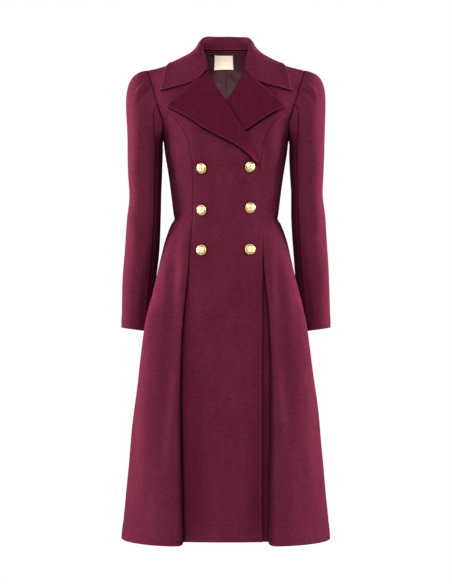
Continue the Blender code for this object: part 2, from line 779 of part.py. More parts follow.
def finish(name, colour, roughness, metallic=0.0):
    material = bpy.data.materials.new(name)
    material.use_nodes = True
    shader = material.node_tree.nodes["Principled BSDF"]
    shader.inputs["Base Color"].default_value = linear_colour(colour)
    shader.inputs["Roughness"].default_value = roughness
    shader.inputs["Metallic"].default_value = metallic
    material.diffuse_color = linear_colour(colour)
    return material


def wool(node):
    return finish(node + "_wool", WOOL, WOOL_ROUGHNESS)


def place_object(name, mesh, material, collection):
    made = bpy.data.objects.new(name, mesh)
    made.data.materials.append(material)
    collection.objects.link(made)
    return made


def sheet(name, cloth, wall, material, collection):
    """A cloth piece: a grid set on its outer points, extruded inward along its normals."""
    points, normal = cloth
    rows, columns = points.shape[:2]
    shape = bmesh.new()
    bmesh.ops.create_grid(shape, x_segments=columns - 1, y_segments=rows - 1, size=0.5)
    outer = list(shape.verts)
    made = bmesh.ops.extrude_face_region(shape, geom=shape.faces[:], use_keep_orig=True)
    inner = [part for part in made["geom"] if isinstance(part, bmesh.types.BMVert)]
    for verts, layer in ((outer, points), (inner, points - wall * normal)):
        for vert in verts:
            column = round((vert.co.x + 0.5) * (columns - 1))
            row = round((vert.co.y + 0.5) * (rows - 1))
            vert.co = layer[row, column] * MM
    bmesh.ops.recalc_face_normals(shape, faces=shape.faces)
    mesh = bpy.data.meshes.new(name)
    shape.to_mesh(mesh)
    shape.free()
    mesh.shade_smooth()
    mesh.set_sharp_from_angle(angle=math.radians(SHARP_ANGLE))
    return place_object(name, mesh, material, collection)


def button(name, x, drop, turn, lift, collection):
    """Domed shank button, turned from a profile and set on the top front."""
    rim_top = BUTTON_SHANK_LENGTH + BUTTON_RIM
    profile = [(BUTTON_RADIUS * out, rim_top + BUTTON_DOME * rise) for out, rise in BUTTON_FACE]
    profile += [
        (BUTTON_RADIUS, BUTTON_SHANK_LENGTH),
        (BUTTON_SHANK_RADIUS, BUTTON_SHANK_LENGTH),
        (BUTTON_SHANK_RADIUS, 0.0),
        (0.0, 0.0),
    ]
    shape = bmesh.new()
    verts = [shape.verts.new((radius * MM, 0.0, height * MM)) for radius, height in profile]
    for first, second in zip(verts, verts[1:]):
        shape.edges.new((first, second))
    mesh = bpy.data.meshes.new(name)
    shape.to_mesh(mesh)
    shape.free()
    made = place_object(name, mesh, finish(name + "_gold", GOLD, GOLD_ROUGHNESS, metallic=1.0), collection)
    spin = made.modifiers.new("turned", "SCREW")
    spin.steps = BUTTON_STEPS
    spin.render_steps = BUTTON_STEPS
    spin.use_merge_vertices = True
    spin.merge_threshold = MERGE_DISTANCE * MM
    x, drop = np.array(float(x)), np.array(float(drop))
    normal = normals(front_surface, x, drop)
    seat = front_surface(x, drop)
    facing = math.atan2(normal[0], -normal[1]) + math.copysign(math.radians(turn), float(x))
    tilt = math.acos(min(1.0, math.hypot(normal[0], normal[1])))
    dip = math.sin(math.radians(turn)) * BUTTON_SHANK_RADIUS
    seat = seat + (lift + dip) * normal
    seat *= np.array((-1.0, 1.0, 1.0))
    made.location = seat * MM
    made.rotation_euler = (math.pi / 2 - math.copysign(tilt, float(normal[2])), 0.0, -facing)
    return made


def panels(is_under):
    """Points and normals of the four body panels of one side, with shared seam normals."""
    front = front_panel(HEM_DROP - UNDER_HEM_SHORTER if is_under else HEM_DROP)
    side_front = side_front_panel()
    if is_under:
        front, side_front = under(front), under(side_front)
    side_back = side_back_panel()
    back = back_panel()
    points = (front, side_front, side_back, back)
    flat = np.array((1.0, 1.0, 0.0))
    front_n, side_front_n, side_back_n, back_n = (facing(grid, grid * (1 - flat)) for grid in points)
    notch = len(ARMHOLE_DROPS) - 1
    share_seam(front_n[notch:, -1], side_front_n[:, 0])
    share_seam(side_front_n[:, -1], side_back_n[:, -1])
    share_seam(back_n[notch:, -1], side_back_n[:, 0])
    share_seam(front_n[0], back_n[0, NECK_COLUMNS - 1:])
    back_n[:, 0, 0] = 0.0
    back_n[:, 0] = unit(back_n[:, 0])
    return points, (front_n, side_front_n, side_back_n, back_n)


def on_side(cloth, side):
    """Own-side cloth placed on the wearer's left (+1) or right (-1)."""
    across = np.array((float(side), 1.0, 1.0))
    points, normal = cloth
    return points * across, normal * across


def build():
    for old in list(bpy.data.objects):
        bpy.data.objects.remove(old)
    coat = bpy.data.collections.new("long_flared_coat")
    bpy.context.scene.collection.children.link(coat)
    gap = SEAM_GAP / 2
    for side, name in ((-1, "right"), (1, "left")):
        is_under = side > 0
        (front, side_front, side_back, back), normal = panels(is_under)
        upper_sleeve, under_sleeve = sleeve_pieces(front, side_front, side_back, back)
        cloth = {
            "front_": (pulled_in(front, top=gap, right=gap), normal[0]),
            "side_front_": (pulled_in(side_front, left=gap, right=gap), normal[1]),
            "side_back_": (pulled_in(side_back, left=gap, right=gap), normal[2]),
            "back_": (pulled_in(back, top=gap, left=gap, right=gap), normal[3]),
            "upper_sleeve_": upper_sleeve,
            "under_sleeve_": under_sleeve,
            "lapel_": lapel_piece(is_under),
        }
        for piece, grid in cloth.items():
            sheet(piece + name, on_side(grid, side), WALL, wool(piece + name), coat)

    sheet("collar", collar_piece(), WALL, wool("collar"), coat)
    lining = back_lining(back, normal[3])
    sheet("back_lining", lining, LINING_WALL, finish("back_lining_satin", SATIN, SATIN_ROUGHNESS), coat)
    label = on_lining(LABEL_X, LABEL_DROP, *LABEL_GRID)
    sheet("label", label, LABEL_WALL, finish("label_weave", WOVEN_LABEL, LABEL_ROUGHNESS), coat)
    loop = on_lining(LOOP_X, LOOP_DROP, *LOOP_GRID)
    sheet("hanger_loop", loop, LABEL_WALL, finish("hanger_loop_satin", SATIN, SATIN_ROUGHNESS), coat)
    for row in BUTTONS["rows"]:
        button(*row, coat)


build()
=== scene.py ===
"""Looks of the long flared coat: cloth shells with seams, edges, folds and stitching, and gold buttons.

The shapes come from the same named sizes as the solids, in millimetres.  "Drop" is the distance
below the origin at the base of the neck, and "x" is measured from the centre line towards the
piece's own side.  The front faces -Y and the wearer's left is at +X.
"""
import math

import bpy
import numpy as np
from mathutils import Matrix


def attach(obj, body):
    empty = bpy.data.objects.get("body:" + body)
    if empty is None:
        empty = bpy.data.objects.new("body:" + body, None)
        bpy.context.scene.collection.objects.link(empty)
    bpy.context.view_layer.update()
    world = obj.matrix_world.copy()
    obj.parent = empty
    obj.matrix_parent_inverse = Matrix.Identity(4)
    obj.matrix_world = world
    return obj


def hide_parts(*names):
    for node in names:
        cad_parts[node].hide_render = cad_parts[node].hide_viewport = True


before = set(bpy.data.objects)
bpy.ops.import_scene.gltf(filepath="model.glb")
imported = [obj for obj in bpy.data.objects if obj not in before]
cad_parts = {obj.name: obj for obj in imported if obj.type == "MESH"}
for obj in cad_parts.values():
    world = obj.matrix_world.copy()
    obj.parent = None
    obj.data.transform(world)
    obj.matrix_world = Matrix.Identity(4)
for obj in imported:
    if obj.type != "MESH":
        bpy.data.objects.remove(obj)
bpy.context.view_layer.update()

MM = 0.001

# Driving sizes in millimetres
WALL = 2.0
LINING_WALL = 1.0
HEM_DROP = 1150.0
UNDER_HEM_SHORTER = 6.0
LEVEL_DROP = 290.0
NECK_X = 64.0
NECK_DROP = -16.9
BACK_NECK_RISE = 5.0
SHOULDER_X = 188.0
SHOULDER_DROP = 33.0
SHOULDER_SLOPE = 0.1926
SHOULDER_CURVE = 0.001692
SHOULDER_ROUND = 75.0
ARMHOLE_NOTCH_DROP = 120.0
ARMPIT_DROP = 198.0
SIDE_SEAM_ANGLE = 90.0

# Rings of the body: half width, depth to the front and back, and how square the ring is
SECTIONS = dict(
    columns=("drop", "half_width", "front", "back", "squareness"),
    rows=(
        (-60, 232.0, 46.0, 60.0, 2.50),
        (-13, 228.0, 62.0, 76.0, 2.50),
        (31, 215.0, 77.0, 88.0, 2.50),
        (79, 200.0, 93.0, 97.0, 2.50),
        (125, 185.0, 107.0, 103.0, 2.50),
        (165, 160.0, 116.0, 103.0, 2.45),
        (198, 150.0, 122.0, 101.0, 2.40),
        (228, 146.5, 124.0, 98.0, 2.35),
        (286, 137.0, 114.0, 90.0, 2.30),
        (343, 129.5, 105.0, 86.0, 2.25),
        (380, 125.0, 102.0, 85.0, 2.20),
        (389, 123.5, 102.0, 85.5, 2.20),
        (401, 131.0, 102.5, 87.0, 2.20),
        (439, 147.0, 104.5, 93.0, 2.20),
        (478, 161.0, 107.0, 98.0, 2.20),
        (554, 184.0, 111.0, 106.0, 2.20),
        (655, 211.0, 116.0, 115.0, 2.20),
        (823, 227.5, 124.0, 128.0, 2.15),
        (977, 239.0, 131.0, 140.0, 2.10),
        (1150, 255.5, 140.0, 152.0, 2.10),
    ),
)

# Depth of the folds at each level: the front flare, the back flares and the hollow beside the arm
FOLDS = dict(
    columns=("drop", "front_flare", "side_back_flare", "back_flare", "side_hollow"),
    rows=(
        (389, 0.0, 0.0, 0.0, 0.0),
        (439, 5.0, 2.0, 1.0, 3.0),
        (478, 9.0, 4.0, 2.0, 10.0),
        (554, 18.0, 8.0, 4.0, 22.0),
        (655, 32.0, 15.0, 8.0, 36.0),
        (740, 44.0, 24.0, 12.0, 27.0),
        (823, 55.0, 33.0, 16.0, 16.0),
        (977, 76.0, 46.0, 22.0, 9.0),
        (1150, 98.0, 60.0, 30.0, 9.0),
    ),
)
FLARE_ONSET = 0.75
FLARE_FULLNESS = 0.6
FLARE_CROWDING = 2.2
FLARE_CROWDING_STARTS = 400.0
FLARE_CROWDING_FULL = 655.0
SIDE_HOLLOW_ANGLE = 103.0
SIDE_HOLLOW_REACH = 45.0

# Inner edge of a front: neckline, roll line of the lapel, then the straight front edge
FRONT_EDGE = dict(
    columns=("drop", "x"),
    rows=(
        (-16.9, 64.0), (2, 57.0), (18, 50.0), (42, 41.0), (85, 19.0),
        (114, 0.0), (158, -27.0), (191, -48.0), (223, -62.0), (245, -71.5),
        (265, -78.0), (288, -82.5), (328, -85.0), (389, -86.0), (1150, -86.0),
    ),
)
GORGE_DROP = 42.0
BREAK_DROP = 259.0

# Seams from the armhole to the hem
ARMHOLE = dict(
    columns=("drop", "x"),
    rows=((33, 188.0), (55, 181.0), (79, 174.0), (103, 167.5), (120, 161.5)),
)
FRONT_PRINCESS = dict(
    columns=("drop", "x"),
    rows=(
        (120, 161.5), (132, 146.0), (157, 118.0), (185, 98.0), (205, 90.5),
        (242, 83.0), (287, 78.0), (362, 78.0), (442, 84.0), (533, 91.0),
        (607, 98.0), (727, 104.0), (823, 105.0), (977, 103.0), (1150, 100.0),
    ),
)
BACK_PRINCESS = dict(
    columns=("drop", "x"),
    rows=((120, 161.5), (135, 140.0), (165, 112.0), (205, 92.0), (262, 78.0), (389, 66.0), (500, 76.0),
          (700, 95.0), (1150, 120.0)),
)

# How far the under layer lies inside the top layer, and where across the front it does
UNDER_LAYER = dict(
    columns=("drop", "sink"),
    rows=((55, 0.0), (100, 8.0), (290, 8.0), (340, 5.0), (1150, 5.0)),
)
UNDER_FULL_X = 88.0
UNDER_END_X = 118.0

# Lapel: a row for each line from the roll line to the lower edge
LAPEL = dict(
    columns=("share", "roll_drop", "edge_x", "edge_drop"),
    rows=(
        (0.00, 42, 134.5, 125.0),
        (0.15, 81, 105.0, 141.5),
        (0.30, 114, 79.5, 158.5),
        (0.45, 148, 55.0, 177.5),
        (0.60, 180, 21.5, 197.0),
        (0.75, 211, -16.0, 216.0),
        (0.90, 241, -51.0, 240.5),
        (1.00, 259, -65.0, 256.0),
    ),
)
ROLL_SETBACK = 3.3
LAPEL_GAP = 2.0
LAPEL_PUFF = 2.0
LAPEL_EDGE_LIFT = 6.0
LAPEL_PUFF_FROM_X = 5.0
LAPEL_PUFF_FULL_X = 60.0

# Collar: a row for each section from the centre back to the front end
COLLAR = dict(
    columns=(
        "share",
        "fold_x", "fold_y", "fold_drop",
        "mid_x", "mid_y", "mid_drop",
        "edge_x", "edge_y", "edge_drop",
    ),
    rows=(
        (0.00, 0, 77, -57, 0, 92, -26, 0, 95, 16),
        (0.18, 30, 70, -56, 37, 84, -26, 50, 88, 16),
        (0.36, 51, 41, -52, 72, 55, -26, 98, 57, 13),
        (0.50, 58, 2, -36, 77, 3, -12, 130, 8, 14),
        (0.64, 55, -43.5, -11.5, 82, -53, 1, 139.5, -43, 25.5),
        (0.80, 47.5, -66, 12.0, 76, -79, 31, 149, -65, 60),
        (1.00, 43, -82, 37.5, 73, -95, 70, 155.5, -77, 88),
    ),
)
COLLAR_FOLD_BACK = 9.0
COLLAR_FOLD_FRONT = 6.0
COLLAR_NECK_INSET = 3.5
COLLAR_NECK_LIFT = 0.8
NECK_CENTRE_Y = 5.0
COLLAR_FALL_BEND = 0.5

# Sleeve tube below the armhole: centre, half width and half depth
SLEEVE = dict(
    columns=("drop", "centre_x", "centre_y", "half_width", "half_depth", "outer_rise"),
    rows=(
        (230, 194.0, 8.0, 42.5, 63.0, 0.0),
        (286, 194.5, 9.0, 40.5, 60.0, 0.0),
        (329, 194.5, 12.0, 38.5, 56.0, 0.0),
        (389, 198.0, 18.0, 41.0, 54.0, 0.0),
        (478, 203.5, 28.0, 41.5, 51.0, 1.0),
        (554, 210.0, 36.0, 40.0, 48.0, 3.0),
        (655, 216.0, 45.0, 37.0, 44.0, 5.0),
    ),
)
SLEEVE_SEAM_ANGLE = 130.0
HEAD_OUTWARD = 212.0
HEAD_DOWNWARD = 15.0
HEAD_SIDE_DOWNWARD = 35.0
HEAD_FORWARD = 15.0
HEAD_HANG = 295.0
HEAD_HANG_LEAST = 35.0
HEAD_PIT_OUTWARD = 8.0
HEAD_FADE = 0.8

# Tuck in the sleeve head, front and back: a ridge above a trough, running out from the armhole
TUCK_RIDGE_TURN = 64.0
TUCK_TROUGH_TURN = 74.0
TUCK_SPREAD = 5.5
TUCK_DEPTH = 6.0
TUCK_START = 0.12
TUCK_REACH = 0.5

# Lining, label and hanger loop inside the back neck
LINING_GAP = 0.6
PLEAT_DEPTH = 1.2
LABEL_X = (-29.5, 18.5)
LABEL_DROP = (-12.5, 21.5)
LABEL_WALL = 1.0
LABEL_GRID = (41, 31)
LABEL_GAP = 0.7
LOOP_X = (-43.0, 31.0)
LOOP_DROP = (-16.8, -13.2)
LOOP_GRID = (41, 7)

# Buttons on the top front: place, level, turn of the face to its own side, and lift of the seat
BUTTON_RADIUS = 12.4
BUTTON_RIM = 1.6
BUTTON_DOME = 5.0
BUTTON_SHANK_RADIUS = 4.0
BUTTON_SHANK_LENGTH = 3.0
BUTTONS = dict(
    columns=("name", "x", "drop", "turn", "lift"),
    rows=(
        ("button_right_1", 55.5, 272.5, 12.0, 0.05),
        ("button_right_2", 55.5, 370.5, 10.0, -0.18),
        ("button_right_3", 56.5, 465.5, 8.0, -0.02),
        ("button_left_1", -55.0, 269.0, 6.0, 0.0),
        ("button_left_2", -55.5, 365.0, 0.0, 0.38),
        ("button_left_3", -55.5, 463.5, 0.0, 0.28),
    ),
)

# Rows and columns of the cloth, close enough for its folds, edges and stitching
ROW_SPLIT = 5
ARMHOLE_LEVELS = (33, 37, 47, 61.5, 81, 100, 120)
CHEST_LEVELS = (120, 133, 147, 166, 190, 220, 243, 263.8, 290)
SKIRT_STEPS = dict(
    columns=("from_drop", "to_drop", "step"),
    rows=((290, 400, 5.0), (400, 560, 8.0), (560, 1088, 12.0), (1088, 1150, 2.5)),
)
FRONT_COLUMNS = 46
SIDE_FRONT_COLUMNS = 60
SIDE_BACK_COLUMNS = 40
NECK_COLUMNS = 14
END_CROWDING = 0.85
GORGE_ROW = 4 * ROW_SPLIT
BREAK_ROW = 13 * ROW_SPLIT
LINING_ROWS = 14 * ROW_SPLIT + 1
LINING_COLUMNS = 46
HEAD_LEVELS = (0.0, 0.12, 0.28, 0.45, 0.62, 0.8, 1.0)
HEAD_SPLIT = 7
SLEEVE_LEVELS = (230, 286, 329, 370, 420, 478, 530, 590, 630, 655)
SLEEVE_SPLIT = 7
LAPEL_ROLL_ANGLES = np.linspace(-90.0, 78.0, 15)
LAPEL_FLAT_LEVELS = (0.0, 0.2, 0.45, 0.72, 0.9, 1.0)
LAPEL_SPLIT = 7
COLLAR_HALF_COLUMNS = 52
COLLAR_LEVELS = (0.0, 0.17, 0.27, 0.333, 0.4, 0.5, 0.62, 0.75, 0.88, 0.95, 1.0)
COLLAR_SPLIT = 7
SLOPE_STEP = 0.5


def refined(levels, split):
    """The levels, with each step between them shared into smaller ones."""
    places = np.linspace(0, len(levels) - 1, (len(levels) - 1) * split + 1)
    return tuple(np.interp(places, np.arange(len(levels)), levels))


def stepped(table):
    """Levels from the top of a table of steps to its end."""
    levels = []
    for start, end, step in table["rows"]:
        count = round((end - start) / step)
        levels += [start + (end - start) * (place + 1) / count for place in range(count)]
    return tuple(levels)


ARMHOLE_DROPS = refined(ARMHOLE_LEVELS, ROW_SPLIT)
CHEST_DROPS = refined(CHEST_LEVELS, ROW_SPLIT)[1:]
LOWER_DROPS = stepped(SKIRT_STEPS)
HEAD_SHARES = refined(HEAD_LEVELS, HEAD_SPLIT)
SLEEVE_ROW_DROPS = refined(SLEEVE_LEVELS, SLEEVE_SPLIT)[1:]
LAPEL_FLAT_SHARES = refined(LAPEL_FLAT_LEVELS, LAPEL_SPLIT)
COLLAR_SHARES = refined(COLLAR_LEVELS, COLLAR_SPLIT)


def spread(count):
    """Shares from 0 to 1 that lie closer together at both ends."""
    even = np.linspace(0, 1, count)
    return blend(even, (1 - np.cos(np.pi * even)) / 2, END_CROWDING)


def values(table, name):
    """All values of one named column."""
    place = table["columns"].index(name)
    return np.array([row[place] for row in table["rows"]], dtype=float)


def curve(t, first, leave, last, arrive):
    """Cubic between two values, with the slopes that it leaves and arrives with."""
    return (
        (2 * t**3 - 3 * t**2 + 1) * first
        + (t**3 - 2 * t**2 + t) * leave
        + (3 * t**2 - 2 * t**3) * last
        + (t**3 - t**2) * arrive
    )


def smooth(table, name, at):
    """A named column read at places along the table's first column, with no overshoot."""
    key = values(table, table["columns"][0])
    known = values(table, name)
    step = np.diff(key)
    rise = np.diff(known) / step
    slope = np.zeros_like(known)
    slope[0], slope[-1] = rise[0], rise[-1]
    before, after = rise[:-1], rise[1:]
    same_way = before * after > 0
    weight_before = 2 * step[1:] + step[:-1]
    weight_after = step[1:] + 2 * step[:-1]
    safe_before = np.where(same_way, before, 1.0)
    safe_after = np.where(same_way, after, 1.0)
    mean = (weight_before + weight_after) / (weight_before / safe_before + weight_after / safe_after)
    slope[1:-1] = np.where(same_way, mean, 0.0)
    at = np.clip(np.asarray(at, dtype=float), key[0], key[-1])
    place = np.clip(np.searchsorted(key, at) - 1, 0, len(step) - 1)
    width = step[place]
    t = (at - key[place]) / width
    return curve(t, known[place], width * slope[place], known[place + 1], width * slope[place + 1])


def ease(start, end, at):
    """0 before start, 1 after end, with a soft change between."""
    t = np.clip((np.asarray(at, dtype=float) - start) / (end - start), 0.0, 1.0)
    return t * t * (3 - 2 * t)


def blend(first, second, share):
    return first + (second - first) * share


def point(x, y, drop):
    x, y, drop = np.broadcast_arrays(x, y, drop)
    return np.stack((x, y, -drop), axis=-1).astype(float)


def ring(drop):
    """Half width, front depth, back depth and squareness of the body at a level."""
    return [smooth(SECTIONS, name, drop) for name in SECTIONS["columns"][1:]]


def shoulder_drop(x):
    """Level of the shoulder seam."""
    inward = SHOULDER_X - np.abs(x)
    return SHOULDER_DROP - SHOULDER_SLOPE * inward - SHOULDER_CURVE * inward**2


def shoulder_share(x, drop):
    """0 on the shoulder seam, rounding out to 1 below it."""
    t = np.clip((np.asarray(drop) - shoulder_drop(x)) / SHOULDER_ROUND, 0.0, 1.0)
    return np.sqrt(1 - (1 - t) ** 2)


def rounding(x, half_width, squareness):
    """Share of the ring's depth at x: 1 at the centre, 0 at the side."""
    return np.clip(1 - np.abs(x / half_width) ** squareness, 0.0, 1.0) ** (1 / squareness)


def front_surface(x, drop):
    half_width, front, _, squareness = ring(drop)
    return point(x, -front * rounding(x, half_width, squareness) * shoulder_share(x, drop), drop)


def back_surface(x, drop):
    half_width, _, back, squareness = ring(drop)
    return point(x, back * rounding(x, half_width, squareness) * shoulder_share(x, drop), drop)


def ring_surface(angle, drop):
    """Point of a ring at an angle from the centre front, 90 degrees at the side."""
    half_width, front, back, squareness = ring(drop)
    angle = np.radians(angle)
    x = half_width * np.abs(np.sin(angle)) ** (2 / squareness)
    cosine = np.cos(angle)
    depth = np.where(cosine > 0, -front, back) * np.abs(cosine) ** (2 / squareness)
    return point(x, depth * shoulder_share(x, drop), drop)


def angle_at_x(x, drop):
    half_width, _, _, squareness = ring(drop)
    return np.degrees(np.arcsin(np.clip(np.abs(x / half_width), 0, 1) ** (squareness / 2)))


def angle_at_depth(depth, drop, largest):
    """Angle from the centre line of a point whose depth is a share of the ring's largest."""
    squareness = ring(drop)[3]
    return np.degrees(np.arccos(np.clip(np.abs(depth) / largest, 0, 1) ** (squareness / 2)))


def normals(surface, x, drop):
    """Outward normals of the front or back surface."""
    across = surface(x + SLOPE_STEP, drop) - surface(x - SLOPE_STEP, drop)
    down = surface(x, drop + SLOPE_STEP) - surface(x, drop - SLOPE_STEP)
    normal = np.cross(down, across)
    if surface is back_surface:
        normal = -normal
    return normal / np.linalg.norm(normal, axis=-1, keepdims=True)


def unit(vectors):
    return vectors / np.linalg.norm(vectors, axis=-1, keepdims=True)


def facing(points, centre):
    """Unit normals of a grid of points, facing away from a centre line."""
    normal = unit(np.cross(np.gradient(points, axis=1), np.gradient(points, axis=0)))
    away = np.sum(normal * (points - centre))
    return normal if away > 0 else -normal


def share_seam(first, second):
    """Give the points along a seam the same normal on both of its pieces."""
    mean = unit(first + second)
    first[...] = mean
    second[...] = mean


def patch(top, bottom, left, right, down, across):
    """Coons patch: boundary arrays joined into a grid, with row and column shares."""
    v = down[:, None, None]
    u = across[None, :, None]
    ruled = blend(top[None], bottom[None], v) + blend(left[:, None], right[:, None], u)
    corners = blend(blend(top[0], top[-1], u), blend(bottom[0], bottom[-1], u), v)
    return ruled - corners


def sink(x, drop):
    """Depth of the under layer inside the top layer."""
    return smooth(UNDER_LAYER, "sink", drop) * (1 - ease(UNDER_FULL_X, UNDER_END_X, x))


def under(points):
    points = points.copy()
    points[..., 1] += sink(points[..., 0], -points[..., 2])
    return points


def upper_shares():
    """Row shares of the panels that reach the shoulder."""
    drops = np.array(ARMHOLE_DROPS + CHEST_DROPS, dtype=float)
    return drops, (drops - drops[0]) / (drops[-1] - drops[0])


def seam_x(princess, drops):
    return np.where(
        drops < ARMHOLE_NOTCH_DROP, smooth(ARMHOLE, "x", drops), smooth(princess, "x", drops)
    )


def flat_pair(x, drop):
    x, drop = np.broadcast_arrays(x, drop)
    return np.stack((x, drop), axis=-1).astype(float)


def front_edge_x(drop):
    """Edge of the front panel, kept clear of the rolled edge of its lapel."""
    rolled = ease(NECK_DROP, GORGE_DROP, drop) * (1 - ease(BREAK_DROP, LEVEL_DROP, drop))
    return smooth(FRONT_EDGE, "x", drop) + ROLL_SETBACK * rolled


def front_panel(edge_hem):
    """Centre front panel: shoulder seam, roll line and front edge, armhole and princess seam."""
    across = spread(FRONT_COLUMNS)
    drops, down = upper_shares()
    inner_drops = blend(NECK_DROP, LEVEL_DROP, down)
    shoulder = blend(NECK_X, SHOULDER_X, across)
    level = np.array(LEVEL_DROP)
    upper = patch(
        flat_pair(shoulder, shoulder_drop(shoulder)),
        flat_pair(blend(front_edge_x(level), smooth(FRONT_PRINCESS, "x", level), across), level),
        flat_pair(front_edge_x(inner_drops), inner_drops),
        flat_pair(seam_x(FRONT_PRINCESS, drops), drops),
        down,
        across,
    )
    low = np.array(LOWER_DROPS, dtype=float)[:, None] + 0 * across
    low[-1] = blend(edge_hem, HEM_DROP, across)
    lower = flat_pair(blend(front_edge_x(low), smooth(FRONT_PRINCESS, "x", low), across), low)
    whole = np.concatenate((upper, lower))
    return front_surface(whole[..., 0], whole[..., 1])


def back_panel():
    """Half of the back: neckline and shoulder seam, centre seam, armhole and princess seam."""
    neck = NECK_X * spread(NECK_COLUMNS)
    shoulder = blend(NECK_X, SHOULDER_X, spread(FRONT_COLUMNS))[1:]
    top = np.concatenate(
        (flat_pair(neck, neckline_drop(neck)), flat_pair(shoulder, shoulder_drop(shoulder)))
    )
    across = top[:, 0] / SHOULDER_X
    drops, down = upper_shares()
    centre_drops = blend(top[0, 1], LEVEL_DROP, down)
    bottom_x = smooth(BACK_PRINCESS, "x", LEVEL_DROP) * across
    upper = patch(
        top,
        flat_pair(bottom_x, np.array(LEVEL_DROP)),
        flat_pair(0.0 * centre_drops, centre_drops),
        flat_pair(seam_x(BACK_PRINCESS, drops), drops),
        down,
        across,
    )
    low = np.array(LOWER_DROPS, dtype=float)[:, None]
    lower = flat_pair(smooth(BACK_PRINCESS, "x", low) * across[None], low)
    whole = np.concatenate((upper, lower))
    points = back_surface(whole[..., 0], whole[..., 1])
    points[..., 1] += smooth(FOLDS, "back_flare", whole[..., 1]) * np.sin(np.pi * across) ** 2
    return points


def neckline_drop(x):
    """Back neckline, a little higher at the centre than at the shoulder seam."""
    return NECK_DROP - BACK_NECK_RISE * (1 - (x / NECK_X) ** 2)


def armhole_quarter(surface, share):
    """Lower quarter of the armhole from the princess notch round to the side seam."""
    notch = surface(np.array(smooth(ARMHOLE, "x", ARMHOLE_NOTCH_DROP)), np.array(ARMHOLE_NOTCH_DROP))
    turn = share * np.pi / 2
    drop = ARMHOLE_NOTCH_DROP + (ARMPIT_DROP - ARMHOLE_NOTCH_DROP) * np.sin(turn)
    depth = notch[1] * np.cos(turn)
    largest = ring(drop)[1 if surface is front_surface else 2]
    return angle_at_depth(depth, drop, largest), drop


def side_panel(surface, princess, columns):
    """Angles and levels of a side panel, from its princess seam to the side seam."""
    across = spread(columns)
    drops = np.array((ARMHOLE_NOTCH_DROP,) + CHEST_DROPS)
    down = (drops - drops[0]) / (drops[-1] - drops[0])
    side_drops = blend(ARMPIT_DROP, LEVEL_DROP, down)
    level = np.array(LEVEL_DROP)
    seam_angle = angle_at_x(smooth(princess, "x", drops), drops)
    upper = patch(
        flat_pair(*armhole_quarter(surface, across)),
        flat_pair(blend(seam_angle[-1], SIDE_SEAM_ANGLE, across), level),
        flat_pair(seam_angle, drops),
        flat_pair(SIDE_SEAM_ANGLE + 0 * side_drops, side_drops),
        down,
        across,
    )
    low = np.array(LOWER_DROPS, dtype=float)[:, None]
    crowding = 1 + (FLARE_CROWDING - 1) * ease(FLARE_CROWDING_STARTS, FLARE_CROWDING_FULL, low)
    if surface is back_surface:
        crowding = 1.0
    seam_angle = angle_at_x(smooth(princess, "x", low), low)
    lower = flat_pair(blend(seam_angle, SIDE_SEAM_ANGLE, across[None] ** crowding), low)
    whole = np.concatenate((upper, lower))
    angle = whole[..., 0] if surface is front_surface else 180.0 - whole[..., 0]
    return across, angle, whole[..., 1]


def hollowed(points, angle, drop):
    """The side drawn in where the arm hangs."""
    away = np.clip((angle - SIDE_HOLLOW_ANGLE) / SIDE_HOLLOW_REACH, -1.0, 1.0)
    bell = np.cos(np.pi / 2 * away) ** 2
    points[..., 0] -= smooth(FOLDS, "side_hollow", drop) * bell
    return points


def side_front_panel():
    """Side front panel: its flare steps forward at the princess seam and rolls round to the side."""
    across, angle, drop = side_panel(front_surface, FRONT_PRINCESS, SIDE_FRONT_COLUMNS)
    points = hollowed(ring_surface(angle, drop), angle, drop)
    wave = np.sin(np.pi * across**FLARE_ONSET)
    wave *= 1 + FLARE_FULLNESS * (1 - wave)
    points[..., 1] -= smooth(FOLDS, "front_flare", drop) * wave
    return points


def side_back_panel():
    """Side back panel with one soft flare."""
    across, angle, drop = side_panel(back_surface, BACK_PRINCESS, SIDE_BACK_COLUMNS)
    points = hollowed(ring_surface(angle, drop), angle, drop)
    points[..., 1] += smooth(FOLDS, "side_back_flare", drop) * np.sin(np.pi * across) ** 2
    return points


def sleeve_ring(turn, drop):
    """Points round the sleeve tube: turn 0 faces out, 90 faces the front."""
    turn = np.radians(turn)
    centre_x, centre_y, half_width, half_depth, rise = (
        smooth(SLEEVE, name, drop) for name in SLEEVE["columns"][1:]
    )
    return point(
        centre_x + half_width * np.cos(turn),
        centre_y - half_depth * np.sin(turn),
        drop - rise * np.cos(turn),
    )


def sleeve_piece(armhole, turn):
    """Sleeve cloth from armhole points, over the head and down the tube to the cuff."""
    share = ((1 + np.cos(np.radians(turn))) / 2)[:, None]
    fade = share**HEAD_FADE
    sine = np.sin(np.radians(turn))[:, None]
    leave = np.concatenate(
        (
            HEAD_OUTWARD * fade + HEAD_PIT_OUTWARD * (1 - share),
            -HEAD_FORWARD * sine,
            -(HEAD_DOWNWARD + HEAD_SIDE_DOWNWARD * sine**2),
        ),
        axis=1,
    )
    hang = np.zeros_like(leave)
    hang[:, 2] = -(HEAD_HANG_LEAST + HEAD_HANG * fade[:, 0])
    first_drop = SLEEVE["rows"][0][0]
    biceps = sleeve_ring(turn, np.array(first_drop))
    t = np.array(HEAD_SHARES)[:, None, None]
    head = curve(t, armhole, leave, biceps, hang)
    drops = np.array(SLEEVE_ROW_DROPS, dtype=float)
    tube = sleeve_ring(turn[None], drops[:, None])
    points = np.concatenate((head, tube))
    axis_drops = np.concatenate((np.full(len(HEAD_SHARES), first_drop), drops))
    axis = point(smooth(SLEEVE, "centre_x", axis_drops), smooth(SLEEVE, "centre_y", axis_drops), axis_drops)
    return points, axis[:, None]


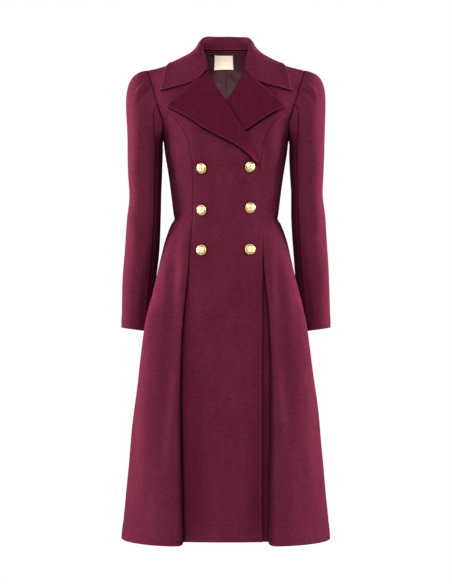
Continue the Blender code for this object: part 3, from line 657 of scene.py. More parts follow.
def tucked(points, normal, turn):
    """The sleeve head with its tucks raised and sunk along its normals."""
    reach = np.concatenate((np.array(HEAD_SHARES), np.ones(len(SLEEVE_ROW_DROPS))))[:, None]
    ridge = np.exp(-(((np.abs(turn) - TUCK_RIDGE_TURN) / TUCK_SPREAD) ** 2))
    trough = np.exp(-(((np.abs(turn) - TUCK_TROUGH_TURN) / TUCK_SPREAD) ** 2))
    fade = ease(0.0, TUCK_START, reach) * (1 - ease(TUCK_START, TUCK_REACH, reach))
    return points + (TUCK_DEPTH * fade * (ridge - trough))[..., None] * normal


def run_lengths(points):
    """Distance of each point of a line from its start."""
    steps = np.linalg.norm(np.diff(points, axis=0), axis=1)
    return np.concatenate(((0.0,), np.cumsum(steps)))


def seam_turns(points, end_turn):
    """Turns shared along a run of armhole points by their distance along it."""
    along = run_lengths(points)
    return end_turn * along / along[-1]


def sleeve_pieces(front, side_front, side_back, back):
    """Upper and under sleeve with their normals, started from the armhole points of the panels."""
    notch = len(ARMHOLE_DROPS)
    over_front = front[:notch, -1]
    over_back = back[:notch, -1]
    upper_turn = np.concatenate(
        (
            seam_turns(over_front, SLEEVE_SEAM_ANGLE)[::-1],
            -seam_turns(over_back, SLEEVE_SEAM_ANGLE)[1:],
        )
    )
    upper, axis = sleeve_piece(np.concatenate((over_front[::-1], over_back[1:])), upper_turn)
    under_front = side_front[0]
    under_back = side_back[0][::-1]
    half = 180.0 - SLEEVE_SEAM_ANGLE
    lower_turn = np.concatenate(
        (
            SLEEVE_SEAM_ANGLE + seam_turns(under_front, half),
            180.0 + seam_turns(under_back, half)[1:],
        )
    )
    lower, axis = sleeve_piece(np.concatenate((under_front, under_back[1:])), lower_turn)
    upper_normal = facing(upper, axis)
    lower_normal = facing(lower, axis)
    share_seam(upper_normal[:, 0], lower_normal[:, 0])
    share_seam(upper_normal[:, -1], lower_normal[:, -1])
    upper = tucked(upper, upper_normal, upper_turn)
    return (upper, upper_normal), (lower, lower_normal)


def lapel_piece(is_under):
    """Lapel: rolls out of the front panel's edge and lies back on the panel."""
    down = upper_shares()[1][GORGE_ROW:BREAK_ROW + 1]
    roll_drop = blend(NECK_DROP, LEVEL_DROP, down)
    share = np.interp(roll_drop, values(LAPEL, "roll_drop"), values(LAPEL, "share"))
    above, below = (smooth(FRONT_EDGE, "x", roll_drop + step) for step in (-SLOPE_STEP, SLOPE_STEP))
    slope = (below - above) / (2 * SLOPE_STEP)
    inward = unit(flat_pair(np.ones_like(slope), -slope))
    start = flat_pair(smooth(FRONT_EDGE, "x", roll_drop) + ROLL_SETBACK, roll_drop)
    edge = flat_pair(smooth(LAPEL, "edge_x", share), smooth(LAPEL, "edge_drop", share))
    roll = np.radians(np.array(LAPEL_ROLL_ANGLES))
    flat = np.array(LAPEL_FLAT_SHARES)
    rows, turns = len(share), len(roll)
    lift = LAPEL_GAP + WALL
    radius = (lift + WALL) / 2
    rolled = start[:, None] - radius * np.cos(roll)[:, None] * inward[:, None]
    place = np.concatenate((rolled, blend(start[:, None], edge[:, None], flat[:, None])), axis=1)
    x, drop = place[..., 0], place[..., 1]
    puff = ease(LAPEL_PUFF_FROM_X, LAPEL_PUFF_FULL_X, x[:, turns:]) if is_under else 1.0
    raised = lift + puff * (LAPEL_PUFF * np.sin(np.pi * flat) + LAPEL_EDGE_LIFT * flat**2)
    rolling = np.broadcast_to(lift - radius + radius * np.sin(roll), (rows, turns))
    height = np.concatenate((rolling, np.broadcast_to(raised, (rows, len(flat)))), axis=1)
    outward = normals(front_surface, x, drop)
    ahead = place + inward[:, None]
    forward = unit(front_surface(ahead[..., 0], ahead[..., 1]) - front_surface(x, drop))
    lean = np.concatenate((-np.cos(roll), 0 * flat))[:, None]
    rise = np.concatenate((np.sin(roll), 1 + 0 * flat))[:, None]
    normal = unit(lean * forward + rise * outward)
    points = front_surface(x, drop)
    if is_under:
        points = under(points)
    return points + height[..., None] * outward, normal


def collar_neck(share):
    """Neckline under the collar: along the back, over the shoulder seam and down to the gorge."""
    back_x = NECK_X * np.clip(2 * share, 0.0, 1.0)
    front_drop = blend(NECK_DROP, GORGE_DROP, np.clip(2 * share - 1, 0.0, 1.0))
    on_back = back_surface(back_x, neckline_drop(back_x))
    on_front = front_surface(smooth(FRONT_EDGE, "x", front_drop), front_drop)
    return np.where((share < 0.5)[:, None], on_back, on_front)


def collar_piece():
    """Collar: stand up from the neckline, soft fold, and fall over the shoulders to its points."""
    place = np.linspace(-1, 1, 2 * COLLAR_HALF_COLUMNS + 1)
    share = np.abs(place)
    own_side = np.stack((np.sign(place), np.ones_like(place), np.ones_like(place)), axis=-1)
    fold, mid, edge = (
        own_side * point(*(smooth(COLLAR, name + part, share) for part in ("_x", "_y", "_drop")))
        for name in ("fold", "mid", "edge")
    )
    neck = own_side * collar_neck(share)
    outward = unit(fold * np.array((1.0, 1.0, 0.0)) - np.array((0.0, NECK_CENTRE_Y, 0.0)))
    neck = neck - COLLAR_NECK_INSET * outward + np.array((0.0, 0.0, COLLAR_NECK_LIFT))
    radius = blend(COLLAR_FOLD_BACK, COLLAR_FOLD_FRONT, share)[:, None]
    stand_top = fold - radius * outward
    fall_top = fold + radius * outward
    under_fall = blend(fall_top, mid, COLLAR_FALL_BEND)
    arcs = ((neck, stand_top, fold), (fold, fall_top, under_fall), (under_fall, mid, edge))
    rows = []
    for v in COLLAR_SHARES:
        arc = min(int(v * len(arcs)), len(arcs) - 1)
        t = v * len(arcs) - arc
        first, middle, last = arcs[arc]
        rows.append((1 - t) ** 2 * first + 2 * t * (1 - t) * middle + t**2 * last)
    points = np.array(rows)
    normal = unit(np.cross(np.gradient(points, axis=1), np.gradient(points, axis=0)))
    return points, normal


def back_lining(back, back_normal):
    """Lining that shows in the neck: the back's own points moved in, with a centre pleat."""
    half = back[:LINING_ROWS, :LINING_COLUMNS]
    half_normal = back_normal[:LINING_ROWS, :LINING_COLUMNS]
    half = half - (WALL + LINING_GAP) * half_normal
    half[:, 0, 1] -= PLEAT_DEPTH
    across = np.array((-1.0, 1.0, 1.0))
    whole = np.concatenate((half[:, :0:-1] * across, half), axis=1)
    normal = np.concatenate((half_normal[:, :0:-1] * across, half_normal), axis=1)
    return whole, normal


def on_lining(x_range, drop_range, columns, rows):
    """Strip that lies inside the lining."""
    x = np.linspace(*x_range, columns)[None]
    drop = np.linspace(*drop_range, rows)[:, None]
    x, drop = np.broadcast_arrays(x, drop)
    normal = normals(back_surface, x, drop)
    inset = WALL + LINING_GAP + LINING_WALL + PLEAT_DEPTH + LABEL_GAP
    return back_surface(x, drop) - inset * normal, normal


def panels(is_under):
    """Points and normals of the four body panels of one side, with shared seam normals."""
    front = front_panel(HEM_DROP - UNDER_HEM_SHORTER if is_under else HEM_DROP)
    side_front = side_front_panel()
    if is_under:
        front, side_front = under(front), under(side_front)
    side_back = side_back_panel()
    back = back_panel()
    points = (front, side_front, side_back, back)
    flat = np.array((1.0, 1.0, 0.0))
    front_n, side_front_n, side_back_n, back_n = (facing(grid, grid * (1 - flat)) for grid in points)
    notch = len(ARMHOLE_DROPS) - 1
    share_seam(front_n[notch:, -1], side_front_n[:, 0])
    share_seam(side_front_n[:, -1], side_back_n[:, -1])
    share_seam(back_n[notch:, -1], side_back_n[:, 0])
    share_seam(front_n[0], back_n[0, NECK_COLUMNS - 1:])
    back_n[:, 0, 0] = 0.0
    back_n[:, 0] = unit(back_n[:, 0])
    return points, (front_n, side_front_n, side_back_n, back_n)


def on_side(cloth, side):
    """Own-side cloth placed on the wearer's left (+1) or right (-1)."""
    across = np.array((float(side), 1.0, 1.0))
    points, normal = cloth
    return points * across, normal * across


# Edge finishes: a ridge and a groove beside a border, by distance from it
EDGES = dict(
    columns=("kind", "ridge_at", "ridge_width", "ridge", "groove_at", "groove_width", "groove"),
    rows=(
        ("seam", 4.5, 4.5, 0.35, 0.0, 1.0, 0.0),
        ("stitched", 2.6, 2.2, 1.0, 5.5, 1.1, 0.8),
        ("faced", 4.0, 3.2, 0.6, 8.0, 1.3, 0.9),
        ("hem", 20.0, 15.0, 0.45, 40.0, 4.0, 0.5),
        ("cuff", 18.0, 12.0, 0.4, 36.0, 4.0, 0.4),
    ),
)
SEAM_TURN = 2.0
# Widths of the painted shade line along seams and of the painted highlight along stitched edges
SEAM_SHADE_LINE = 1.3
RIM_HIGHLIGHT_LINE = 1.5
EDGE_LIFT = 3.6
EDGE_LIFT_REACH = 15.0
LIFT_FROM_END = (-2.0, -1.0)
LIFT_STARTS = {
    ("lapel", "top"): (25.0, 60.0),
    ("collar", "left"): (72.0, 105.0),
    ("collar", "right"): (72.0, 105.0),
}
PUCKER = 0.16
PUCKER_PITCH = 13.0
PUCKER_DRIFT = 0.35
PUCKER_DRIFT_PITCH = 1.9
PUCKER_REACH = 9.0

# Borders of each kind of piece
SIDES = ("left", "right", "top", "bottom")
COVERED_LAPEL = "lapel_left"
SEWN_PANEL = dict(left="seam", right="seam", top="seam", bottom="hem")
SEWN_SLEEVE = dict(left="seam", right="seam", top="seam", bottom="cuff")
BORDERS = {
    "front": dict(left="faced", right="seam", top="seam", bottom="hem"),
    "side_front": SEWN_PANEL,
    "side_back": SEWN_PANEL,
    "back": SEWN_PANEL,
    "upper_sleeve": SEWN_SLEEVE,
    "under_sleeve": SEWN_SLEEVE,
    "lapel": dict(right="stitched", top="stitched"),
    "collar": dict(left="stitched", right="stitched", bottom="stitched"),
    "back_lining": dict(top="seam"),
}

# Creases: a line on one face of a piece, its width, and its height or depth
FACES = {"front": -1.0, "back": 1.0}
FACING_GAIN = 1.6
CREASES = dict(
    columns=("x1", "drop1", "x2", "drop2", "width", "height"),
    rows={
        ("piece", "face"): (
            ("x1", "drop1", "x2", "drop2", "width", "height"),
        ),
        ("front_right", "front"): (
            (66, 560, 76, 1150, 16, -2.2),
            (30, 560, 40, 1150, 30, 2.0),
            (-30, 600, -46, 1140, 24, 1.6),
            (2, 700, -6, 1150, 26, -1.6),
            (-46, 276, 44, 284, 11, -0.7),
            (-48, 377, 46, 366, 10, 0.7),
            (8, 390, 78, 404, 12, -1.1),
            (-10, 448, 70, 436, 16, 0.8),
        ),
        ("side_front_right", "front"): (
            (66, 358, 140, 393, 4, -2.4),
            (66, 368, 142, 406, 9, 2.6),
            (92, 330, 122, 372, 12, -1.3),
            (106, 540, 124, 820, 12, -4.0),
            (118, 380, 154, 1010, 15, -7.0),
            (180, 480, 196, 1090, 20, 6.0),
            (178, 980, 204, 1180, 16, -3.0),
        ),
        ("side_front_left", "front"): (
            (64, 356, 140, 392, 4, -2.4),
            (66, 366, 142, 405, 9, 2.6),
            (90, 338, 120, 376, 12, -1.3),
            (112, 590, 124, 760, 11, -3.0),
            (116, 390, 154, 970, 16, -6.0),
            (184, 500, 198, 1100, 20, 5.0),
            (168, 900, 196, 1160, 17, -3.0),
        ),
        ("upper_sleeve_right", "front"): (
            (190, 190, 212, 330, 15, -2.4),
            (212, 160, 222, 440, 14, 1.8),
            (184, 300, 226, 262, 11, -1.8),
            (190, 398, 240, 420, 11, -1.5),
            (196, 430, 214, 640, 13, 1.6),
            (188, 500, 204, 646, 10, -1.6),
        ),
        ("upper_sleeve_left", "front"): (
            (186, 180, 214, 320, 16, -2.2),
            (210, 200, 224, 460, 14, 1.7),
            (182, 322, 228, 284, 11, -1.8),
            (190, 416, 242, 430, 11, -1.5),
            (198, 450, 216, 648, 13, 1.6),
            (190, 520, 206, 650, 10, -1.6),
        ),
        ("upper_sleeve_right", "back"): (
            (180, 300, 232, 330, 12, -2.0),
            (186, 372, 240, 392, 10, -1.8),
        ),
        ("upper_sleeve_left", "back"): (
            (182, 310, 230, 336, 12, -2.0),
            (188, 380, 240, 396, 10, -1.7),
        ),
        ("back_right", "back"): (
            (30, 90, 110, 190, 20, 1.5),
            (6, 350, 64, 376, 11, -1.6),
            (10, 392, 66, 384, 9, 1.1),
            (22, 520, 34, 1140, 20, -2.4),
        ),
        ("back_left", "back"): (
            (26, 100, 112, 182, 22, 1.4),
            (4, 362, 62, 378, 11, -1.5),
            (20, 396, 64, 388, 9, 1.1),
            (26, 540, 32, 1140, 20, -2.2),
        ),
        ("side_back_right", "back"): (
            (96, 360, 122, 390, 10, -1.5),
        ),
        ("side_back_left", "back"): (
            (94, 352, 122, 384, 10, -1.5),
        ),
        ("back_lining", "back"): (
            (6, 20, 33, 52, 5, -1.6),
            (-8, 60, -60, 90, 8, -1.4),
            (20, 80, 66, 110, 9, -1.2),
        ),
    },
)
CREASE_END = 0.3

# Slow waves of hanging cloth: one row for each wave across and down
HELD_REACH = 9.0
WAVE_PHASE = 0.9
WAVES = dict(
    columns=("across", "down", "turn", "height"),
    rows=((171, 920, 0.4, 0.55), (96, 410, 2.1, 0.35), (233, 148, 4.0, 0.35), (61, 233, 1.2, 0.18)),
)

# Rounded free edges, and stitches
CLOTH_ROUNDING = 0.5
TAPE_ROUNDING = 0.3
BEVEL_SEGMENTS = 2
STITCH_LENGTH = 2.5
STITCH_PITCH = 3.4
STITCH_RADIUS = 0.34
STITCH_SIDES = 6
STITCH_INSET = 5.5
FRONT_STITCH_INSET = 8.0
FRONT_STITCH_FROM = 268.0
FRONT_FACING_FULL = 278.0
STITCH_AHEAD = 1.0
STITCH_PROFILE = ((-0.5, 0.35), (-0.3, 1.0), (0.3, 1.0), (0.5, 0.35))

# Relief of a button: rings and petals on the dome
BUTTON_SIDES = 96
BUTTON_RINGS = 40
DOME_ROUNDNESS = 2.2
DOME_FULLNESS = 0.86
RIM_ROUNDING = 0.3
RIM_UNDERCUT = 0.985
UNDERSIDE_SHARE = 0.95
ROPE_BEADS = 30
ROPE_TWIST = 0.5
ROPE_FROM = 0.84
ROPE_FULL = 0.89
ROPE_ENDS = 0.97
ROPE_HEIGHT = 0.42
GROOVE_AT = 0.79
GROOVE_WIDTH = 0.035
GROOVE_DEPTH = 0.55
PETALS = 8
PETAL_AT = 0.46
PETAL_WIDTH = 0.2
PETAL_HEIGHT = 0.75
PETAL_POINT = 0.7
BOSS_RADIUS = 0.16
BOSS_TOP = 0.6
BOSS_HEIGHT = 0.6

# Colours as they look, from 0 to 255
WOOL_DARK = (59, 16, 29)
WOOL_LIGHT = (84, 30, 46)
# Painted shade: a darker copy of the wool for the lapels, for their darker look
LAPEL_SHADE_DARK = (50, 10, 23)
LAPEL_SHADE_LIGHT = (72, 19, 36)
THREAD = (84, 22, 42)
# Painted shade along the seams
SEAM_SHADE_TONE = (202, 178, 186)
# Painted highlight along the stitched edges of the lapels and collar
RIM_HIGHLIGHT_TONE = (94, 34, 51)
WHITE = (255, 255, 255)
# Painted shade: ambient occlusion darkens the wool's colour in hollows and under lying cloth, over a short
# and a wide reach
HOLLOW_SHADE = dict(
    columns=("reach", "least", "tone"),
    rows=((14.0, 0.25, (204, 176, 188)), (75.0, 0.35, (184, 160, 171))),
)
SATIN_DARK = (40, 14, 21)
SATIN_LIGHT = (78, 36, 46)
LABEL_DARK = (214, 196, 178)
LABEL_LIGHT = (244, 229, 213)
GOLD_DARK = (96, 66, 32)
GOLD_LIGHT = (222, 190, 136)
FLOOR_DARK = (196, 196, 196)
FLOOR_LIGHT = (208, 208, 208)

# Finish of each material, and the noise that makes its grain
FINISHES = dict(
    columns=("name", "roughness", "metallic", "specular"),
    rows=(
        ("brushed_wool", 0.95, 0.0, 0.0),
        ("brushed_wool_lapel_shade", 0.95, 0.0, 0.0),
        ("wool_thread", 0.75, 0.0, 0.25),
        ("lining_satin", 0.5, 0.0, 0.2),
        ("woven_label", 0.7, 0.0, 0.3),
        ("button_gold", 0.3, 0.8, 0.5),
        ("studio_floor", 0.9, 0.0, 0.1),
    ),
)
GRAINS = dict(
    columns=("name", "scale", "stretch", "detail"),
    rows=(
        ("nap", 640.0, (1.0, 1.0, 0.6), 4.0),
        ("weft", 520.0, (0.16, 0.16, 1.0), 4.0),
        ("mottle", 24.0, (1.0, 1.0, 0.5), 5.0),
        ("twist", 1500.0, (1.0, 1.0, 1.0), 4.0),
        ("satin_weave", 700.0, (1.0, 1.0, 0.12), 4.0),
        ("satin_cloud", 18.0, (1.0, 1.0, 1.0), 4.0),
        ("label_cloud", 60.0, (1.0, 1.0, 1.0), 4.0),
        ("rubbing", 900.0, (1.0, 1.0, 1.0), 4.0),
        ("floor", 3.0, (1.0, 1.0, 1.0), 4.0),
    ),
)
GRAIN_ROUGHNESS = 0.6
HOLLOW_SAMPLES = 8
HOLLOW_CLEAR = 0.9
SHEEN_WEIGHT = 0.004
SHEEN_ROUGHNESS = 0.35
SHEEN_TINT = (1.0, 0.66, 0.76, 1.0)
LABEL_WEAVE_SCALE = 420.0
LABEL_WEAVE_DISTORTION = 0.6
GOLD_ROUGH = 0.5
GOLD_SMOOTH = 0.36
FLOOR_GLOW = 0.1

# Camera, floor and lamps, in metres
CAMERA_DISTANCE = 5.5
CAMERA_HEIGHT = -0.564
CAMERA_LENS = 141.3
FLOOR_HEIGHT = -1.7
FLOOR_RADIUS = 2.6
FLOOR_SIDES = 96
LAMPS = dict(
    columns=("name", "x", "y", "z", "width", "height", "aim", "spread", "power"),
    rows=(
        ("left_lamp", -2.5, 0.95, 0.1, 1.5, 1.6, -0.25, 60.0, 66.0),
        ("right_lamp", 2.5, 0.95, 0.1, 1.5, 1.6, -0.25, 60.0, 66.0),
        ("front_lamp", -0.4, -4.7, 1.3, 1.0, 1.0, -0.55, 180.0, 370.0),
        ("back_lamp", 0.0, 3.8, 1.0, 3.0, 2.0, -0.55, 180.0, 170.0),
    ),
)
SKY_LIGHT = 0.25
SKY_TONE = (1.0, 0.97, 0.97, 1.0)


def distances(points):
    """Distance of each grid point from its left, right, top and bottom borders."""
    across = np.linalg.norm(np.diff(points, axis=1), axis=-1)
    down = np.linalg.norm(np.diff(points, axis=0), axis=-1)
    across = np.concatenate((np.zeros((len(points), 1)), np.cumsum(across, axis=1)), axis=1)
    down = np.concatenate((np.zeros((1, points.shape[1])), np.cumsum(down, axis=0)), axis=0)
    return dict(left=across, right=across[:, -1:] - across, top=down, bottom=down[-1:] - down)


def bell(at, centre, width):
    return np.exp(-(((at - centre) / width) ** 2))


def facing_share(normal, way_out):
    """1 where the cloth faces the front or the back, falling to 0 where it faces aside."""
    return np.clip(FACING_GAIN * way_out * normal[..., 1], 0, 1)


def edge_height(kind, points, normal, is_covered):
    """Ridges and grooves along the borders of a piece."""
    away = distances(points)
    height = np.zeros(points.shape[:2])
    lift = np.zeros(points.shape[:2])
    for border, edge in BORDERS[kind].items():
        ridge_at, ridge_width, ridge, groove_at, groove_width, groove = row_of(EDGES, edge)
        beside = away[border]
        along = away["top"] if border in ("left", "right") else away["left"]
        shape = ridge * bell(beside, ridge_at, ridge_width) - groove * bell(beside, groove_at, groove_width)
        if edge == "seam":
            drift = PUCKER_DRIFT * np.sin(along / (PUCKER_DRIFT_PITCH * PUCKER_PITCH))
            phase = along / PUCKER_PITCH + drift
            shape = shape + PUCKER * np.sin(2 * np.pi * phase) * bell(beside, 0.0, PUCKER_REACH)
            shape = shape * (1 - bell(beside, 0.0, SEAM_TURN))
        if edge == "stitched":
            start, full = LIFT_STARTS.get((kind, border), LIFT_FROM_END)
            raised = ease(start, full, along) * bell(beside, 0.0, EDGE_LIFT_REACH)
            lift = np.maximum(lift, EDGE_LIFT * raised)
        if edge == "faced":
            shape = shape * ease(BREAK_DROP, FRONT_FACING_FULL, -points[..., 2])
        height += shape
    if is_covered:
        lift = lift * ease(LAPEL_PUFF_FROM_X, LAPEL_PUFF_FULL_X, points[..., 0])
    return height + lift * facing_share(normal, FACES["front"])


def crease_height(kind, name, points, normal):
    """Height of the creases laid on a piece, on the face that each row names."""
    height = np.zeros(points.shape[:2])
    place = np.stack((points[..., 0], -points[..., 2]), axis=-1)
    for face, way_out in FACES.items():
        toward = facing_share(normal, way_out)
        for x1, drop1, x2, drop2, width, rise in CREASES["rows"].get((name, face), ()):
            start = np.array((x1, drop1), dtype=float)
            way = np.array((x2, drop2)) - start
            length = np.linalg.norm(way)
            away = place - start
            along = away @ way / length**2
            beside = (away[..., 0] * way[1] - away[..., 1] * way[0]) / length
            fade = ease(0.0, CREASE_END, along) * (1 - ease(1 - CREASE_END, 1.0, along))
            height += rise * fade * bell(beside, 0.0, width) * toward
    return height * held_still(kind, points)


def wave_height(points, phase):
    """Slow unevenness of the cloth."""
    around = points[..., 0] + points[..., 1]
    height = np.zeros(points.shape[:2])
    for across, down, turn, rise in WAVES["rows"]:
        height += rise * np.sin(2 * np.pi * (around / across - points[..., 2] / down) + turn + phase)
    return height


def edge_shade_and_highlight(kind, points):
    """Marks for the material: 1 along seams, for painted shade, or along stitched free edges, for a painted
    highlight, falling to 0 beside them.
    """
    away = distances(points)
    marks = dict(seam=np.zeros(points.shape[:2]), rim=np.zeros(points.shape[:2]))
    for border, edge in BORDERS[kind].items():
        along = away["top"] if border in ("left", "right") else away["left"]
        if edge == "seam":
            marks["seam"] = np.maximum(marks["seam"], bell(away[border], 0.0, SEAM_SHADE_LINE))
        if edge == "stitched":
            start, full = LIFT_STARTS.get((kind, border), LIFT_FROM_END)
            rim = ease(start, full, along) * bell(away[border], 0.0, RIM_HIGHLIGHT_LINE)
            marks["rim"] = np.maximum(marks["rim"], rim)
    return marks


def shell(name, points, normal, wall, material, free=SIDES, marks=None):
    """Closed thin shell between the outer points and the same points moved in by the wall."""
    rows, columns = points.shape[:2]
    corner = np.arange(rows * columns).reshape(rows, columns)
    quads = (corner[:-1, :-1], corner[:-1, 1:], corner[1:, 1:], corner[1:, :-1])
    quads = np.stack(quads, axis=-1).reshape(-1, 4)
    inner = rows * columns
    border = np.concatenate((corner[0], corner[1:, -1], corner[-1, -2::-1], corner[-2:0:-1, 0]))
    after = np.roll(border, -1)
    rim = np.stack((after, border, border + inner, after + inner), axis=-1)
    faces = np.concatenate((quads, quads[:, ::-1] + inner, rim))
    turned = np.cross(points[:-1, 1:] - points[:-1, :-1], points[1:, :-1] - points[:-1, :-1])
    if np.sum(turned * normal[:-1, :-1]) < 0:
        faces = faces[:, ::-1]
    verts = np.concatenate((points.reshape(-1, 3), (points - wall * normal).reshape(-1, 3))) * MM
    made = place_object(name, verts, faces.tolist(), material)
    sides = dict(left=corner[:, 0], right=corner[:, -1], top=corner[0], bottom=corner[-1])
    marked = set()
    for border in free:
        run = sides[border]
        for layer in (0, inner):
            marked.update(frozenset(pair) for pair in zip(run[:-1] + layer, run[1:] + layer))
    weight = made.data.attributes.new("bevel_weight_edge", "FLOAT", "EDGE")
    weight.data.foreach_set("value", [float(frozenset(edge.vertices) in marked) for edge in made.data.edges])
    for title, values_there in (marks or {}).items():
        kept = made.data.attributes.new(title, "FLOAT", "POINT")
        both_faces = np.concatenate((values_there, values_there))
        kept.data.foreach_set("value", both_faces.ravel().astype(np.float32))
    return made


def place_object(name, verts, faces, material):
    mesh = bpy.data.meshes.new(name)
    mesh.from_pydata(verts.tolist(), [], faces)
    mesh.validate()
    mesh.shade_smooth()
    mesh.materials.append(material)
    made = bpy.data.objects.new(name, mesh)
    bpy.context.scene.collection.objects.link(made)
    return made


def soften(made, width):
    """Rounded corners along the free edges of a piece, which were marked when it was made."""
    bevel = made.modifiers.new("rounded", "BEVEL")
    bevel.width = width * MM
    bevel.segments = BEVEL_SEGMENTS
    bevel.limit_method = "WEIGHT"


def read_along(at, along, points):
    """Points of a line at distances along it."""
    return np.stack([np.interp(at, along, points[:, axis]) for axis in range(3)], axis=-1)


def line_inside(points, normal, border, inset):
    """Points and normals of a line that runs beside one border of a grid."""
    if border in ("top", "bottom"):
        points, normal = points.swapaxes(0, 1), normal.swapaxes(0, 1)
    if border in ("right", "bottom"):
        points, normal = points[:, ::-1], normal[:, ::-1]
    reach = distances(points)["left"]
    line = [read_along(inset, run, row) for run, row in zip(reach, points)]
    lean = [read_along(inset, run, row) for run, row in zip(reach, normal)]
    return np.array(line), unit(np.array(lean))


def stitches(name, lines, material):
    """Short thread stitches along lines of points, half sunk in the cloth."""
    turns = np.linspace(0, 2 * np.pi, STITCH_SIDES, endpoint=False)
    verts, faces = [], []
    for line, lean in lines:
        along = run_lengths(line)
        places = np.arange(STITCH_PITCH, along[-1] - STITCH_PITCH, STITCH_PITCH)
        middle, ahead, up = (
            read_along(at, along, grid)
            for at, grid in ((places, line), (places + STITCH_AHEAD, line), (places, lean))
        )
        way = unit(ahead - middle)
        across = unit(np.cross(way, up))
        up = np.cross(across, way)
        for centre, forward, side, rise in zip(middle, way, across, up):
            first = len(verts)
            for reach, swell in STITCH_PROFILE:
                ring_centre = centre + reach * STITCH_LENGTH * forward
                for turn in turns:
                    out = math.cos(turn) * side + math.sin(turn) * rise
                    verts.append(ring_centre + swell * STITCH_RADIUS * out)
            for level in range(len(STITCH_PROFILE) - 1):
                for step in range(STITCH_SIDES):
                    a = first + level * STITCH_SIDES + step
                    b = first + level * STITCH_SIDES + (step + 1) % STITCH_SIDES
                    faces.append((a, b, b + STITCH_SIDES, a + STITCH_SIDES))
            last = first + (len(STITCH_PROFILE) - 1) * STITCH_SIDES
            faces.append(tuple(range(first + STITCH_SIDES - 1, first - 1, -1)))
            faces.append(tuple(range(last, last + STITCH_SIDES)))
    return place_object(name, np.array(verts) * MM, faces, material)


def button_face(share, turn):
    """Height of a button's face above its rim, and how deep a place lies in the relief."""
    dome = BUTTON_DOME * (1 - share**DOME_ROUNDNESS) * DOME_FULLNESS
    rope = ROPE_HEIGHT * np.abs(np.sin(ROPE_BEADS / 2 * (turn + ROPE_TWIST * share)))
    rope = rope * ease(ROPE_FROM, ROPE_FULL, share) * (1 - ease(ROPE_ENDS, 1.0, share))
    groove = GROOVE_DEPTH * bell(share, GROOVE_AT, GROOVE_WIDTH)
    petal = np.abs(np.cos(PETALS / 2 * turn)) ** PETAL_POINT
    petal = PETAL_HEIGHT * petal * bell(share, PETAL_AT, PETAL_WIDTH)
    boss = BOSS_HEIGHT * (1 - ease(BOSS_TOP * BOSS_RADIUS, BOSS_RADIUS, share))
    relief = rope - groove + petal + boss
    return dome + relief, relief


def button(name, x, drop, turn, lift, material):
    """Domed shank button with a plain rosette and a beaded rim, set on the top front."""
    share = np.linspace(0, 1, BUTTON_RINGS + 1)[1:, None]
    angle = np.linspace(0, 2 * np.pi, BUTTON_SIDES, endpoint=False)[None]
    rise, relief = button_face(share, angle)
    rim_top = BUTTON_SHANK_LENGTH + BUTTON_RIM
    radius = BUTTON_RADIUS * share + 0 * angle
    height = rim_top + rise
    below = (
        (BUTTON_RADIUS, rim_top - RIM_ROUNDING),
        (BUTTON_RADIUS * RIM_UNDERCUT, BUTTON_SHANK_LENGTH + RIM_ROUNDING),
        (BUTTON_RADIUS * UNDERSIDE_SHARE, BUTTON_SHANK_LENGTH),
        (BUTTON_SHANK_RADIUS, BUTTON_SHANK_LENGTH),
        (BUTTON_SHANK_RADIUS, 0.0),
    )
    radius = np.concatenate([radius] + [np.full(angle.shape, out) for out, _ in below])
    height = np.concatenate([height] + [np.full(angle.shape, level) for _, level in below])
    relief = np.concatenate((relief, np.zeros((len(below), BUTTON_SIDES))))
    rings = np.stack((radius * np.cos(angle), radius * np.sin(angle), height), axis=-1)
    top_height, top_relief = button_face(np.array(0.0), np.array(0.0))
    ends = ((0.0, 0.0, rim_top + float(top_height)), (0.0, 0.0, 0.0))
    verts = np.concatenate((rings.reshape(-1, 3), ends))
    count = len(rings) * BUTTON_SIDES
    faces = []
    for step in range(BUTTON_SIDES):
        after = (step + 1) % BUTTON_SIDES
        faces.append((count, step, after))
        for level in range(len(rings) - 1):
            a, b = level * BUTTON_SIDES + step, level * BUTTON_SIDES + after
            faces.append((a, a + BUTTON_SIDES, b + BUTTON_SIDES, b))
        last = (len(rings) - 1) * BUTTON_SIDES
        faces.append((last + step, count + 1, last + after))
    x, drop = np.array(float(x)), np.array(float(drop))
    normal = normals(front_surface, x, drop)
    face = math.atan2(normal[0], -normal[1]) + math.copysign(math.radians(turn), float(x))
    tilt = math.acos(min(1.0, math.hypot(normal[0], normal[1])))
    dip = math.sin(math.radians(turn)) * BUTTON_SHANK_RADIUS
    seat = (front_surface(x, drop) + (lift + dip) * normal) * np.array((-1.0, 1.0, 1.0))
    lean = math.pi / 2 - math.copysign(tilt, float(normal[2]))
    tip = np.array(((1, 0, 0), (0, math.cos(lean), -math.sin(lean)), (0, math.sin(lean), math.cos(lean))))
    swing = np.array(((math.cos(face), math.sin(face), 0), (-math.sin(face), math.cos(face), 0), (0, 0, 1)))
    verts = verts @ (swing @ tip).T + seat
    made = place_object(name + "_gold", verts * MM, faces, material)
    depth = made.data.attributes.new("relief", "FLOAT", "POINT")
    relief = np.concatenate((relief.reshape(-1), (float(top_relief), 0.0)))
    depth.data.foreach_set("value", relief.astype(np.float32))
    return made


def linear_colour(colour):
    shares = [part / 255 for part in colour]
    return [s / 12.92 if s <= 0.04045 else ((s + 0.055) / 1.055) ** 2.4 for s in shares] + [1.0]


def row_of(table, name):
    """The rest of the row that starts with a name."""
    return {row[0]: row[1:] for row in table["rows"]}[name]


def fill(tree, node, inputs):
    """Sets each named input of a node to a value, or links it to the output given for it."""
    for name, value in inputs.items():
        if isinstance(value, bpy.types.NodeSocket):
            tree.links.new(value, node.inputs[name])
        else:
            node.inputs[name].default_value = value


def add(tree, kind, inputs, **settings):
    """A new node with its settings made and its inputs filled."""
    node = tree.nodes.new("ShaderNode" + kind)
    for name, value in settings.items():
        setattr(node, name, value)
    fill(tree, node, inputs)
    return node


